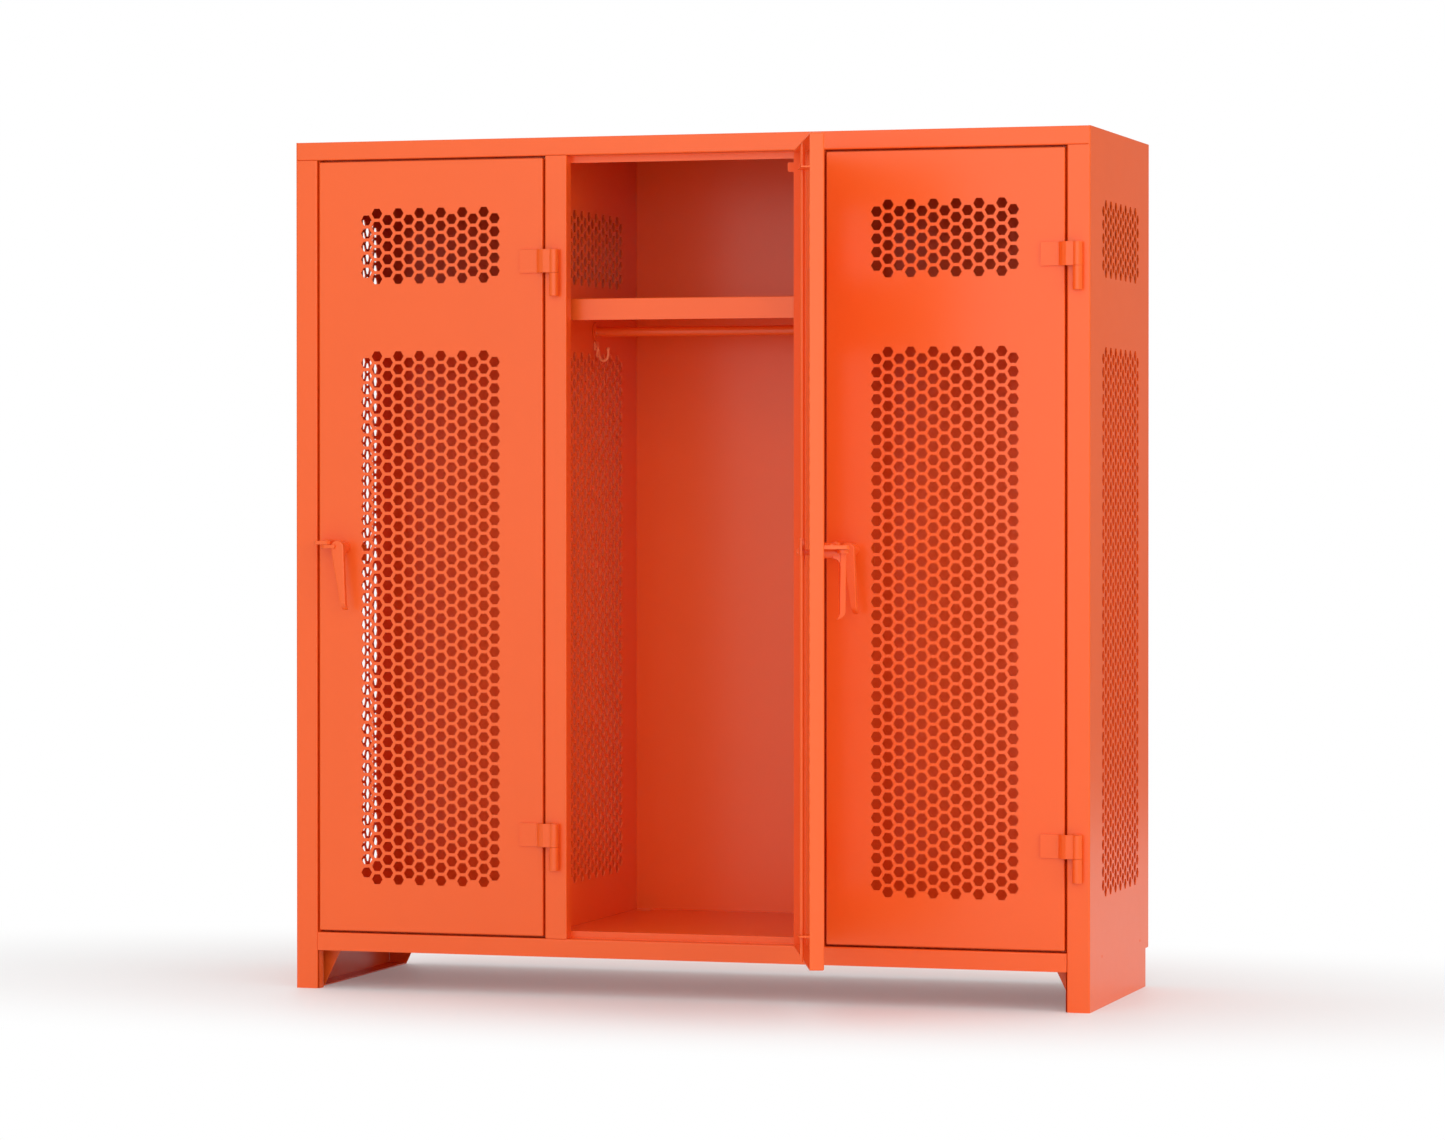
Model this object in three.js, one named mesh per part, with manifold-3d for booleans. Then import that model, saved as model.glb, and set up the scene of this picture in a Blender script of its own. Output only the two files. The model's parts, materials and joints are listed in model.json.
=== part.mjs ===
// A ventilated steel locker with three compartments side by side.
// Units are millimetres. X runs along the front, Y from the front to the back, Z up.
// The front faces of the posts and of the closed doors lie in one plane.
import * as THREE from 'three';
import { mergeVertices } from 'three/addons/utils/BufferGeometryUtils.js';
import Module from 'manifold-3d';

const wasm = await Module();
wasm.setup();

// Overall sizes
const width = 1828.8;
const height = 1905;
const depth = 609.6;
const sheet = 2.7;
const seam = 0.3;
const overrun = 2;
const compartments = 3;

// Front frame
const postWidth = 50.8;
const frameDepth = 31;
const headerHeight = 40.6;
const railBottom = 86.4;
const railHeight = 40.6;
const stopHeight = 15.4;

// Feet under the two side sheets
const footWidth = 42;
const gussetTopWidth = 110;
const gussetSetBack = 21;
const footRearNotch = 31;
const floorSlotWidth = 42;
const floorSlotDepth = 30;
const floorSlotInset = 5;

// Dividers, shelves, coat rails and coat hooks
const dividerInset = 14;
const shelfDrop = 315;
const shelfLip = 48;
const shelfSetBack = 60;
const coatRailRadius = 10.8;
const coatRailDrop = 66.4;
const coatRailFlangeRadius = 22;
const coatRailFlangeThickness = 3;
const hookDrop = 32.5;
const hookUpperDrop = 33;
const hookPlateWidth = 26;
const hookPlateHeight = 20;
const hookPlateThickness = 4;
const hookWireRadius = 3;
const hookBendRadius = 11;
const hookTipHeight = 16;
const hookLowerReach = 42;
const hookLowerDrop = 22;

// Doors
const doorGap = 4.8;
const doorDepth = 30;
const middleDoorAngle = 109.7;
const pryTabDrop = 25.6;
const pryTabHeight = 20.6;
const pryTabReach = 13.2;

// Vents: hexagons in staggered columns, an upper and a lower field on every upright sheet
const ventPitch = 117.3;
const ventHeightShare = 0.76;
const ventUpperDrop = 190.6;
const ventUpperHeight = 176;
const ventShelfMargin = 111.4;
const ventSillMargin = 102.2;
const doorVentWidth = 330;
const sideVentFrontMargin = 120.5;
const sideVentBackMargin = 108.1;

// Hinges: a barrel on the post and a cranked strap on the door, twice on each door
const barrelRadius = 10.5;
const knuckleHeight = 52;
const hingePinRadius = 4;
const hingePinLength = 40;
const hingeClearance = 0.3;
const strapThickness = 4.6;
const strapReach = 83;
const strapCrankStart = 42;
const strapCrankEnd = 24;
const strapStandOff = 8;
const strapCrankShift = 3.6;
const upperHingeDrop = 255.1;
const lowerHingeRise = 199.2;

// Latch: a lever and a cam on one spindle, and two rods that the cam drives
const latchHeight = 994;
const latchInset = 61.7;
const leverLength = 140;
const leverHeadRadius = 15.5;
const leverTipWidth = 12;
const leverTipShift = 15;
const leverStandOff = 37;
const leverThickness = 12;
const leverCurl = 11;
const leverLip = 7;
const leverFillet = 16;
const bossRadius = 13;
const spindleRadius = 6;
const spindleClearance = 0.5;
const nutRadius = 8.8;
const nutHeight = 8;
const camSetBack = 39.5;
const camThickness = 4;
const camWidth = 20;
const camPinRadius = 3.5;
const camPinClearance = 0.5;
const camDriftShare = 0.025;
const eyeGap = 0.5;
const rodStroke = 40;
const rodRadius = 4.5;
const rodPointLength = 14;
const rodPointRadius = 1.5;
const rodReach = 25;
const rodEyeThickness = 4;
const rodEyeWall = 5.5;
const rodNeck = 17;
const rodFloorClearance = 1.5;
const guideInset = 70;
const guideThickness = 3;
const guideWall = 6;
const guideFront = 22;
const guideClearance = 0.6;

// Hasp plate beside the lever, and the lever's padlock ear under it
const haspReach = 53;
const haspThickness = 8;
const haspEdge = 6;
const haspLift = 7;
const haspClearance = 1;
const padlockHoleRadius = 5;
const padlockInset = 12;
const earThickness = 8;
const earGap = 0.8;

// Facets
const barrelSides = 20;
const smallSides = 12;
const rodSides = 12;
const wireSides = 6;
const wireSteps = 9;

// Heights and places that follow from the sizes above
const sillTop = railBottom + railHeight;
const floorTop = sillTop + stopHeight;
const headerBottom = height - headerHeight;
const stopBottom = headerBottom - stopHeight;
const stopBack = frameDepth + sheet;
const backFront = depth - sheet;
const openingWidth = (width - (compartments + 1) * postWidth) / compartments;
const openingPitch = openingWidth + postWidth;
const doorWidth = openingWidth - doorGap - doorGap;
const doorBottom = sillTop + doorGap;
const doorTop = headerBottom - doorGap;
const barrelProud = barrelRadius + seam;
const hingeToDoor = postWidth / 2 + doorGap;
const freeEdge = -hingeToDoor - doorWidth;
const face = barrelProud;
const latchX = freeEdge + latchInset;
const camRadius = rodStroke / Math.SQRT2;
const rodOffset = (camRadius + camRadius / Math.SQRT2) / 2;
const camFront = face + camSetBack;
const camBack = camFront + camThickness;
const upperEyeFront = camFront - eyeGap - rodEyeThickness;
const lowerEyeFront = camBack + eyeGap;
const upperRodY = upperEyeFront + rodRadius;
const lowerRodY = lowerEyeFront + rodEyeThickness - rodRadius;
const shelfTop = headerBottom - shelfDrop;
const coatRailHeight = shelfTop - coatRailDrop;
const ventUpperCentre = doorTop - ventUpperDrop;
const ventLowerTop = shelfTop - ventShelfMargin;
const ventLowerBottom = doorBottom + ventSillMargin;
const ventLowerCentre = (ventLowerTop + ventLowerBottom) / 2;
const ventLowerHeight = ventLowerTop - ventLowerBottom;
const sideVentWidth = depth - sideVentFrontMargin - sideVentBackMargin;
const sideVentCentre = sideVentFrontMargin + sideVentWidth / 2;
const upperHingeCentre = doorTop - upperHingeDrop;
const lowerHingeCentre = doorBottom + lowerHingeRise;

const powderCoat = { color: 0xf86a35, roughness: 0.42, metalness: 0 };

// A shape in a plane, drawn through its points, with holes
function shapeOf(points, holes = []) {
  const shape = new THREE.Shape(points.map(([a, b]) => new THREE.Vector2(a, b)));
  for (const hole of holes) {
    shape.holes.push(new THREE.Path(hole.map(([a, b]) => new THREE.Vector2(a, b))));
  }
  return shape;
}

function circlePoints(centreA, centreB, radius, sides) {
  const points = [];
  for (let i = 0; i < sides; i += 1) {
    const turn = (i / sides) * Math.PI * 2;
    points.push([centreA + radius * Math.cos(turn), centreB + radius * Math.sin(turn)]);
  }
  return points;
}

function rectanglePoints(a0, a1, b0, b1) {
  return [[a0, b0], [a1, b0], [a1, b1], [a0, b1]];
}

// Prisms: a plane shape carried along X (shape in Y and Z), Y (shape in X and Z) or Z (shape in X and Y)
function prism(basis, offset, shape, length) {
  const geometry = new THREE.ExtrudeGeometry(shape, { depth: length, bevelEnabled: false, steps: 1 });
  geometry.applyMatrix4(new THREE.Matrix4().makeBasis(...basis));
  geometry.translate(...offset);
  return geometry;
}

const alongX = new THREE.Vector3(1, 0, 0);
const alongY = new THREE.Vector3(0, 1, 0);
const alongZ = new THREE.Vector3(0, 0, 1);

function prismX(shape, from, to) {
  return prism([alongY, alongZ, alongX], [from, 0, 0], shape, to - from);
}

function prismY(shape, from, to) {
  return prism([alongX, alongZ, alongY.clone().negate()], [0, to, 0], shape, to - from);
}

function prismZ(shape, from, to) {
  return prism([alongX, alongY, alongZ], [0, 0, from], shape, to - from);
}

function block(x0, x1, y0, y1, z0, z1) {
  return prismZ(shapeOf(rectanglePoints(x0, x1, y0, y1)), z0, z1);
}

// Joining and cutting closed meshes
function solidOf(geometry) {
  const bare = geometry.clone();
  bare.deleteAttribute('normal');
  bare.deleteAttribute('uv');
  const merged = mergeVertices(bare);
  return new wasm.Manifold(new wasm.Mesh({
    numProp: 3,
    vertProperties: new Float32Array(merged.attributes.position.array),
    triVerts: new Uint32Array(merged.index.array),
  }));
}

function geometryOf(solid) {
  const mesh = solid.getMesh();
  const geometry = new THREE.BufferGeometry();
  geometry.setAttribute('position', new THREE.BufferAttribute(new Float32Array(mesh.vertProperties), 3));
  geometry.setIndex(new THREE.BufferAttribute(new Uint32Array(mesh.triVerts), 1));
  return geometry;
}

function joined(geometries) {
  return geometries.map(solidOf).reduce((whole, piece) => whole.add(piece));
}

function cut(solid, geometries) {
  return geometries.map(solidOf).reduce((whole, piece) => whole.subtract(piece), solid);
}

// Vents: hexagons with flat tops and points to the sides; every second column holds one more
function ventColumn(centreA, centreB, count) {
  const halfHeight = (ventPitch * ventHeightShare) / 2;
  const corner = halfHeight / Math.cos(Math.PI / 6);
  const holes = [];
  for (let row = 0; row < count; row += 1) {
    holes.push(circlePoints(centreA, centreB + (row - (count - 1) / 2) * ventPitch, corner, 6));
  }
  return holes;
}

function ventField(centreA, centreB, fieldWidth, fieldHeight) {
  const columnPitch = ventPitch * Math.cos(Math.PI / 6);
  const columns = Math.max(1, Math.round(fieldWidth / columnPitch));
  const rows = Math.max(2, Math.round(fieldHeight / ventPitch));
  const holes = [];
  for (let column = 0; column < columns; column += 1) {
    const a = centreA + (column - (columns - 1) / 2) * columnPitch;
    holes.push(...ventColumn(a, centreB, column % 2 === 0 ? rows - 1 : rows));
  }
  return holes;
}

function ventHoles(centreA, fieldWidth) {
  return [
    ...ventField(centreA, ventUpperCentre, fieldWidth, ventUpperHeight),
    ...ventField(centreA, ventLowerCentre, fieldWidth, ventLowerHeight),
  ];
}

// Frame of the cabinet
function topSheet() {
  return block(sheet + seam, width - sheet - seam, sheet + seam, backFront - seam, height - sheet, height);
}

function header() {
  const section = shapeOf([
    [0, headerBottom], [frameDepth, headerBottom], [frameDepth, stopBottom], [stopBack, stopBottom],
    [stopBack, headerBottom + sheet], [sheet, headerBottom + sheet], [sheet, height], [0, height],
  ]);
  return prismX(section, sheet + seam, width - sheet - seam);
}

function bottomRail() {
  const section = shapeOf([
    [0, railBottom], [sheet, railBottom], [sheet, sillTop - sheet], [stopBack, sillTop - sheet],
    [stopBack, floorTop], [frameDepth, floorTop], [frameDepth, sillTop], [0, sillTop],
  ]);
  return prismX(section, postWidth + seam, width - postWidth - seam);
}

function hingeX(compartment) {
  return postWidth + compartment * openingPitch + openingWidth + postWidth / 2;
}

// Slot with round ends: a circle whose halves are moved apart
function slotPoints(middleX, middleY) {
  const radius = floorSlotDepth / 2;
  const points = [];
  for (let i = 0; i < smallSides; i += 1) {
    const turn = ((i + 0.5) / smallSides) * Math.PI * 2;
    const apart = Math.sign(Math.cos(turn)) * (floorSlotWidth / 2 - radius);
    points.push([middleX + apart + radius * Math.cos(turn), middleY + radius * Math.sin(turn)]);
  }
  return points;
}

function floorSheet() {
  const holes = [];
  for (let i = 0; i < compartments; i += 1) {
    const x = hingeX(i) + latchX - rodOffset;
    holes.push(circlePoints(x, lowerRodY - face, rodRadius + rodFloorClearance, smallSides));
    holes.push(slotPoints(wallLeft(i) + floorSlotInset + floorSlotWidth / 2,
      backFront - floorSlotInset - floorSlotDepth / 2));
  }
  const outline = rectanglePoints(sheet + seam, width - sheet - seam, stopBack + seam, backFront - seam);
  return prismZ(shapeOf(outline, holes), floorTop - sheet, floorTop);
}

function backSheet() {
  return block(0, width, backFront, depth, railBottom, height);
}

function sideSheet() {
  const footBack = depth - footRearNotch;
  const outline = [
    [0, 0], [footBack, 0], [footBack, railBottom], [backFront - seam, railBottom],
    [backFront - seam, height], [0, height],
  ];
  return prismX(shapeOf(outline, ventHoles(sideVentCentre, sideVentWidth)), 0, sheet);
}

// Outer post: a face down to the floor and one return beside the door
function outerPost(faceStart, faceEnd, returnStart, returnEnd) {
  const face0 = rectanglePoints(faceStart, faceEnd, 0, sheet);
  const return0 = rectanglePoints(returnStart, returnEnd, 0, frameDepth);
  return geometryOf(joined([
    prismZ(shapeOf(face0), 0, headerBottom - seam),
    prismZ(shapeOf(return0), 0, headerBottom - seam),
  ]));
}

function leftPost() {
  return outerPost(sheet + seam, postWidth, postWidth - sheet, postWidth);
}

function rightPost() {
  return outerPost(width - postWidth, width - sheet - seam, width - postWidth, width - postWidth + sheet);
}

// Middle post: a channel, open to the back
function middlePost() {
  const section = shapeOf([
    [0, 0], [postWidth, 0], [postWidth, frameDepth], [postWidth - sheet, frameDepth],
    [postWidth - sheet, sheet], [sheet, sheet], [sheet, frameDepth], [0, frameDepth],
  ]);
  return prismZ(section, sillTop + seam, headerBottom - seam);
}

// Divider: its front edge stands inside the channel of the middle post, below the door stop
function divider() {
  const outline = [
    [sheet + seam, floorTop + seam], [backFront - seam, floorTop + seam],
    [backFront - seam, height - sheet - seam], [stopBack + seam, height - sheet - seam],
    [stopBack + seam, stopBottom - seam], [sheet + seam, stopBottom - seam],
  ];
  return prismX(shapeOf(outline, ventHoles(sideVentCentre, sideVentWidth)), 0, sheet);
}

// Foot: a flange on the floor between two gussets that reach up to the floor sheet
function foot() {
  const gussetTop = floorTop - sheet - seam;
  const gusset = shapeOf([[0, 0], [footWidth, 0], [gussetTopWidth, gussetTop], [0, gussetTop]]);
  const front = stopBack + seam;
  const back = depth - footRearNotch;
  return geometryOf(joined([
    block(0, footWidth, front, back, 0, sheet),
    prismY(gusset, front + gussetSetBack, front + gussetSetBack + sheet),
    prismY(gusset, back - sheet, back),
  ]));
}

// Inner faces of the walls left and right of a compartment
function wallLeft(compartment) {
  return compartment === 0 ? sheet : compartment * openingPitch + dividerInset + sheet;
}

function wallRight(compartment) {
  return compartment === compartments - 1 ? width - sheet : (compartment + 1) * openingPitch + dividerInset;
}

function shelf(compartment) {
  const front = shelfSetBack;
  const section = shapeOf([
    [front, shelfTop - shelfLip], [front + sheet, shelfTop - shelfLip], [front + sheet, shelfTop - sheet],
    [backFront - seam, shelfTop - sheet], [backFront - seam, shelfTop], [front, shelfTop],
  ]);
  return prismX(section, wallLeft(compartment) + seam, wallRight(compartment) - seam);
}

function coatRail(compartment) {
  const length = wallRight(compartment) - wallLeft(compartment) - seam - seam;
  const profile = [
    [0, 0], [coatRailFlangeRadius, 0], [coatRailFlangeRadius, coatRailFlangeThickness],
    [coatRailRadius, coatRailFlangeThickness], [coatRailRadius, length - coatRailFlangeThickness],
    [coatRailFlangeRadius, length - coatRailFlangeThickness], [coatRailFlangeRadius, length], [0, length],
  ];
  return new THREE.LatheGeometry(profile.map(([r, z]) => new THREE.Vector2(r, z)), smallSides);
}

// Coat hook: a small plate, a prong out from the wall that turns up, and a lower prong to the front
function wire(points) {
  const section = shapeOf(circlePoints(0, 0, hookWireRadius, wireSides));
  const path = new THREE.CatmullRomCurve3(points);
  return new THREE.ExtrudeGeometry(section, { steps: wireSteps, bevelEnabled: false, extrudePath: path });
}

function coatHook() {
  const root = hookPlateThickness - hookWireRadius;
  const low = -hookUpperDrop;
  const outer = root + hookBendRadius + hookBendRadius;
  const upper = wire([
    new THREE.Vector3(hookPlateThickness, 0, 0),
    new THREE.Vector3(hookPlateThickness + hookWireRadius, 0, low + hookBendRadius),
    new THREE.Vector3((hookPlateThickness + outer) / 2 + hookWireRadius, 0, low),
    new THREE.Vector3(outer + hookWireRadius, 0, low + hookBendRadius),
    new THREE.Vector3(outer + hookWireRadius, 0, low + hookBendRadius + hookTipHeight),
  ]);
  const lower = wire([
    new THREE.Vector3(hookPlateThickness, 0, -hookPlateHeight / 4),
    new THREE.Vector3(hookPlateThickness + hookWireRadius, -hookLowerReach / 4, -hookLowerDrop),
    new THREE.Vector3(hookPlateThickness + hookBendRadius, -hookLowerReach * 3 / 4, -hookLowerDrop),
    new THREE.Vector3(outer, -hookLowerReach, -hookLowerDrop / 2),
  ]);
  const plate = block(
    0, hookPlateThickness, -hookPlateWidth / 2, hookPlateWidth / 2, -hookPlateHeight / 2, hookPlateHeight / 2);
  return geometryOf(joined([plate, upper, lower]));
}

// Hinge pin: the lower knuckle on the post, with the pin that the door's knuckle drops over
function hingePin(centre) {
  const profile = [
    [0, centre - knuckleHeight], [barrelRadius, centre - knuckleHeight], [barrelRadius, centre],
    [hingePinRadius, centre], [hingePinRadius, centre + hingePinLength], [0, centre + hingePinLength],
  ];
  return new THREE.LatheGeometry(profile.map(([r, z]) => new THREE.Vector2(r, z)), barrelSides)
    .rotateX(Math.PI / 2);
}

// The parts of a door are drawn closed, with the hinge axis as X = 0 and Y = 0
function doorSheet() {
  const outline = rectanglePoints(freeEdge, -hingeToDoor, doorBottom, doorTop);
  const holes = ventHoles(freeEdge + doorWidth / 2, doorVentWidth);
  holes.push(circlePoints(latchX, latchHeight, spindleRadius + spindleClearance, smallSides));
  return prismY(shapeOf(outline, holes), face, face + sheet);
}

function rodGuide(rodX, rodY, z) {
  const outline = rectanglePoints(freeEdge + sheet / 2, rodX + rodRadius + guideWall,
    face + guideFront, rodY + rodRadius + guideWall);
  const hole = circlePoints(rodX, rodY, rodRadius + guideClearance, smallSides);
  return prismZ(shapeOf(outline, [hole]), z - guideThickness / 2, z + guideThickness / 2);
}

// A tab that carries the rim on behind the frame at the hinge side
function pryTab() {
  const top = doorTop - pryTabDrop;
  return block(-hingeToDoor - sheet, -hingeToDoor, face + doorDepth - overrun,
    face + doorDepth + pryTabReach, top - pryTabHeight, top);
}

function doorRim() {
  const outline = rectanglePoints(freeEdge, -hingeToDoor, doorBottom, doorTop);
  const hole = rectanglePoints(
    freeEdge + sheet, -hingeToDoor - sheet, doorBottom + sheet, doorTop - sheet);
  return geometryOf(joined([
    prismY(shapeOf(outline, [hole]), face + sheet + seam, face + doorDepth),
    rodGuide(latchX + rodOffset, upperRodY, doorTop - guideInset),
    rodGuide(latchX - rodOffset, lowerRodY, doorBottom + guideInset),
    pryTab(),
  ]));
}

// Hinge strap: a flat leaf on the door, a crank that rises steeply and bends over the gap,
// and the upper knuckle with its blind bore
function hingeStrap(centre) {
  const leafFront = face - seam - strapThickness;
  const crankShares = [[0, 0], [0.17, 0.37], [0.5, 0.77], [1, 1]];
  const crank = crankShares.map(([along, out]) => [
    -strapCrankStart + (strapCrankStart - strapCrankEnd) * along,
    leafFront - (leafFront + strapStandOff) * out,
  ]);
  const crankBack = crank.map(([x, y]) => [x + strapCrankShift, y + strapThickness]);
  const section = shapeOf([
    [-strapReach, leafFront], ...crank, [0, -strapStandOff], [0, -strapStandOff + strapThickness],
    ...crankBack.reverse(), [-strapReach, leafFront + strapThickness],
  ]);
  const bottom = centre + hingeClearance;
  const top = centre + knuckleHeight;
  const barrel = prismZ(shapeOf(circlePoints(0, 0, barrelRadius, barrelSides)), bottom, top);
  const bore = prismZ(shapeOf(circlePoints(0, 0, hingePinRadius + hingeClearance, barrelSides)),
    bottom - overrun, centre + hingePinLength + hingeClearance);
  return geometryOf(cut(joined([prismZ(section, bottom, top), barrel]), [bore]));
}

// Hasp plate: stands out from the door above the lever's ear, with a padlock hole through both
function padlockPlace() {
  return [latchX - leverHeadRadius - padlockInset, face - haspReach + padlockInset];
}

function haspPlate() {
  const outline = rectanglePoints(
    freeEdge + haspEdge, latchX - leverHeadRadius - haspClearance, face - haspReach, face - seam);
  const hole = circlePoints(...padlockPlace(), padlockHoleRadius, smallSides);
  const bottom = latchHeight + haspLift;
  return prismZ(shapeOf(outline, [hole]), bottom, bottom + haspThickness);
}

// Lever: a front outline and a side outline crossed, on a boss and a spindle with its nut
function leverOutline() {
  const points = [];
  for (let i = 0; i <= smallSides / 2; i += 1) {
    const turn = (i / smallSides) * Math.PI * 2;
    points.push([leverHeadRadius * Math.cos(turn), leverHeadRadius * Math.sin(turn)]);
  }
  const half = leverTipWidth / 2;
  points.push([leverTipShift - half, -leverLength + half], [leverTipShift - half / 2, -leverLength]);
  points.push([leverTipShift + half / 2, -leverLength], [leverTipShift + half, -leverLength + half]);
  return shapeOf(points.map(([x, z]) => [latchX + x, latchHeight + z]));
}

function leverSide() {
  const outer = leverStandOff + leverThickness;
  const tipShares = [[0, 0.9], [0.35, 0.965], [1, 1]];
  const points = [[outer, leverHeadRadius]];
  for (const [curl, drop] of tipShares) {
    points.push([outer - leverCurl * curl, -leverLength * drop]);
  }
  for (const [curl, drop] of [...tipShares].reverse()) {
    points.push([leverStandOff - leverLip * curl, -leverLength * drop + (curl === 1 ? seam : 0)]);
  }
  for (let i = 0; i <= smallSides / 4; i += 1) {
    const turn = (i / smallSides) * Math.PI * 2;
    points.push([leverStandOff - leverFillet * (1 - Math.cos(turn)),
      -bossRadius - leverFillet * (1 - Math.sin(turn))]);
  }
  points.push([leverStandOff - leverFillet, 0], [leverStandOff, leverHeadRadius]);
  return shapeOf(points.map(([out, z]) => [face - out, latchHeight + z]));
}

function turned(radius, from, to, sides) {
  return prismY(shapeOf(circlePoints(latchX, latchHeight, radius, sides)), from, to);
}

function lever() {
  const blade = solidOf(prismX(leverSide(), latchX - leverHeadRadius - leverTipWidth,
    latchX + leverHeadRadius + leverTipWidth))
    .intersect(solidOf(prismY(leverOutline(), face - leverStandOff - leverThickness - overrun, face)));
  const earTop = latchHeight + haspLift - earGap;
  const [padlockX, padlockY] = padlockPlace();
  const ear = block(padlockX - padlockInset, latchX, padlockY - padlockInset, padlockY + padlockInset,
    earTop - earThickness, earTop);
  const hole = prismZ(shapeOf(circlePoints(padlockX, padlockY, padlockHoleRadius, smallSides)),
    earTop - earThickness - overrun, earTop + overrun);
  const stem = joined([
    turned(bossRadius, face - leverStandOff - overrun, face - seam, barrelSides),
    turned(spindleRadius, face - seam - overrun, camBack + overrun, smallSides),
    turned(nutRadius, camBack + seam, camBack + seam + nutHeight, wireSides),
  ]);
  return geometryOf(cut(blade.add(stem).add(solidOf(ear)), [hole]));
}

// Cam: a bar on the spindle with a pin at each end; at rest it leans 45 degrees
function camPoint(turn, radius) {
  return [latchX + radius * Math.cos(turn), latchHeight + radius * Math.sin(turn)];
}

function cam() {
  const rest = -Math.PI / 4;
  const outline = [];
  for (const end of [0, Math.PI]) {
    const [x, z] = camPoint(rest + end, camRadius);
    for (let i = 0; i <= smallSides / 2; i += 1) {
      const turn = rest + end - Math.PI / 2 + (i / smallSides) * Math.PI * 2;
      outline.push([x + (camWidth / 2) * Math.cos(turn), z + (camWidth / 2) * Math.sin(turn)]);
    }
  }
  const hole = circlePoints(latchX, latchHeight, spindleRadius + hingeClearance, smallSides);
  const plate = prismY(shapeOf(outline, [hole]), camFront, camBack);
  const frontPin = circlePoints(...camPoint(rest, camRadius), camPinRadius, smallSides);
  const backPin = circlePoints(...camPoint(rest + Math.PI, camRadius), camPinRadius, smallSides);
  return geometryOf(joined([
    plate,
    prismY(shapeOf(frontPin), upperEyeFront, camFront + camThickness / 2),
    prismY(shapeOf(backPin), camBack - camThickness / 2, lowerEyeFront + rodEyeThickness),
  ]));
}

// Rod: an eye with a slot for the cam's pin, and a round bar with a pointed end
function rod(side, rodY, eyeFront, tip) {
  const x = latchX + side * rodOffset;
  const eye = latchHeight - side * camRadius / Math.SQRT2;
  const travel = camRadius - camRadius / Math.SQRT2;
  const drift = rodStroke * camDriftShare;
  const slotHalf = travel / 2 + camPinRadius + camPinClearance;
  const slotRise = camPinRadius + drift + camPinClearance;
  const neck = eye + side * rodNeck;
  const plateEnds = [eye - side * (slotRise + rodEyeWall), neck + side * (rodRadius + rodRadius)];
  const outline = rectanglePoints(x - slotHalf - rodEyeWall, x + slotHalf + rodEyeWall,
    Math.min(...plateEnds), Math.max(...plateEnds));
  const slot = rectanglePoints(x - slotHalf, x + slotHalf, eye - slotRise, eye + slotRise);
  const length = Math.abs(tip - neck);
  const profile = [
    [0, 0], [rodRadius, 0], [rodRadius, length - rodPointLength], [rodPointRadius, length], [0, length],
  ];
  const bar = new THREE.LatheGeometry(profile.map(([r, z]) => new THREE.Vector2(r, z)), rodSides);
  bar.rotateX(side * Math.PI / 2);
  bar.translate(x, rodY, neck);
  return geometryOf(joined([prismY(shapeOf(outline, [slot]), eyeFront, eyeFront + rodEyeThickness), bar]));
}

function upperRod() {
  return rod(1, upperRodY, upperEyeFront, doorTop + rodReach - rodStroke);
}

function lowerRod() {
  return rod(-1, lowerRodY, lowerEyeFront, doorBottom - rodReach + rodStroke);
}

// One named mesh for each piece, all in the same powder coat
function named(name, geometry) {
  const mesh = new THREE.Mesh(geometry, new THREE.MeshStandardMaterial(powderCoat));
  mesh.name = name;
  return mesh;
}

function placed(name, geometry, x, y, z) {
  const mesh = named(name, geometry);
  mesh.position.set(x, y, z);
  return mesh;
}

const sides = ['left', 'middle', 'right'];
const cabinet = new THREE.Group();

cabinet.add(named('top_sheet', topSheet()));
cabinet.add(named('header', header()));
cabinet.add(named('bottom_rail', bottomRail()));
cabinet.add(named('floor_sheet', floorSheet()));
cabinet.add(named('back_sheet', backSheet()));
cabinet.add(named('left_side_sheet', sideSheet()));
cabinet.add(placed('right_side_sheet', sideSheet(), width - sheet, 0, 0));
cabinet.add(named('left_post', leftPost()));
cabinet.add(named('right_post', rightPost()));
cabinet.add(placed('left_middle_post', middlePost(), openingPitch, 0, 0));
cabinet.add(placed('right_middle_post', middlePost(), openingPitch + openingPitch, 0, 0));
cabinet.add(placed('left_divider', divider(), openingPitch + dividerInset, 0, 0));
cabinet.add(placed('right_divider', divider(), openingPitch + openingPitch + dividerInset, 0, 0));
cabinet.add(placed('left_foot', foot(), sheet + seam, 0, 0));
const rightFoot = named('right_foot', foot());
rightFoot.rotation.z = Math.PI;
rightFoot.position.set(width - sheet - seam, stopBack + backFront, 0);
cabinet.add(rightFoot);

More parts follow.
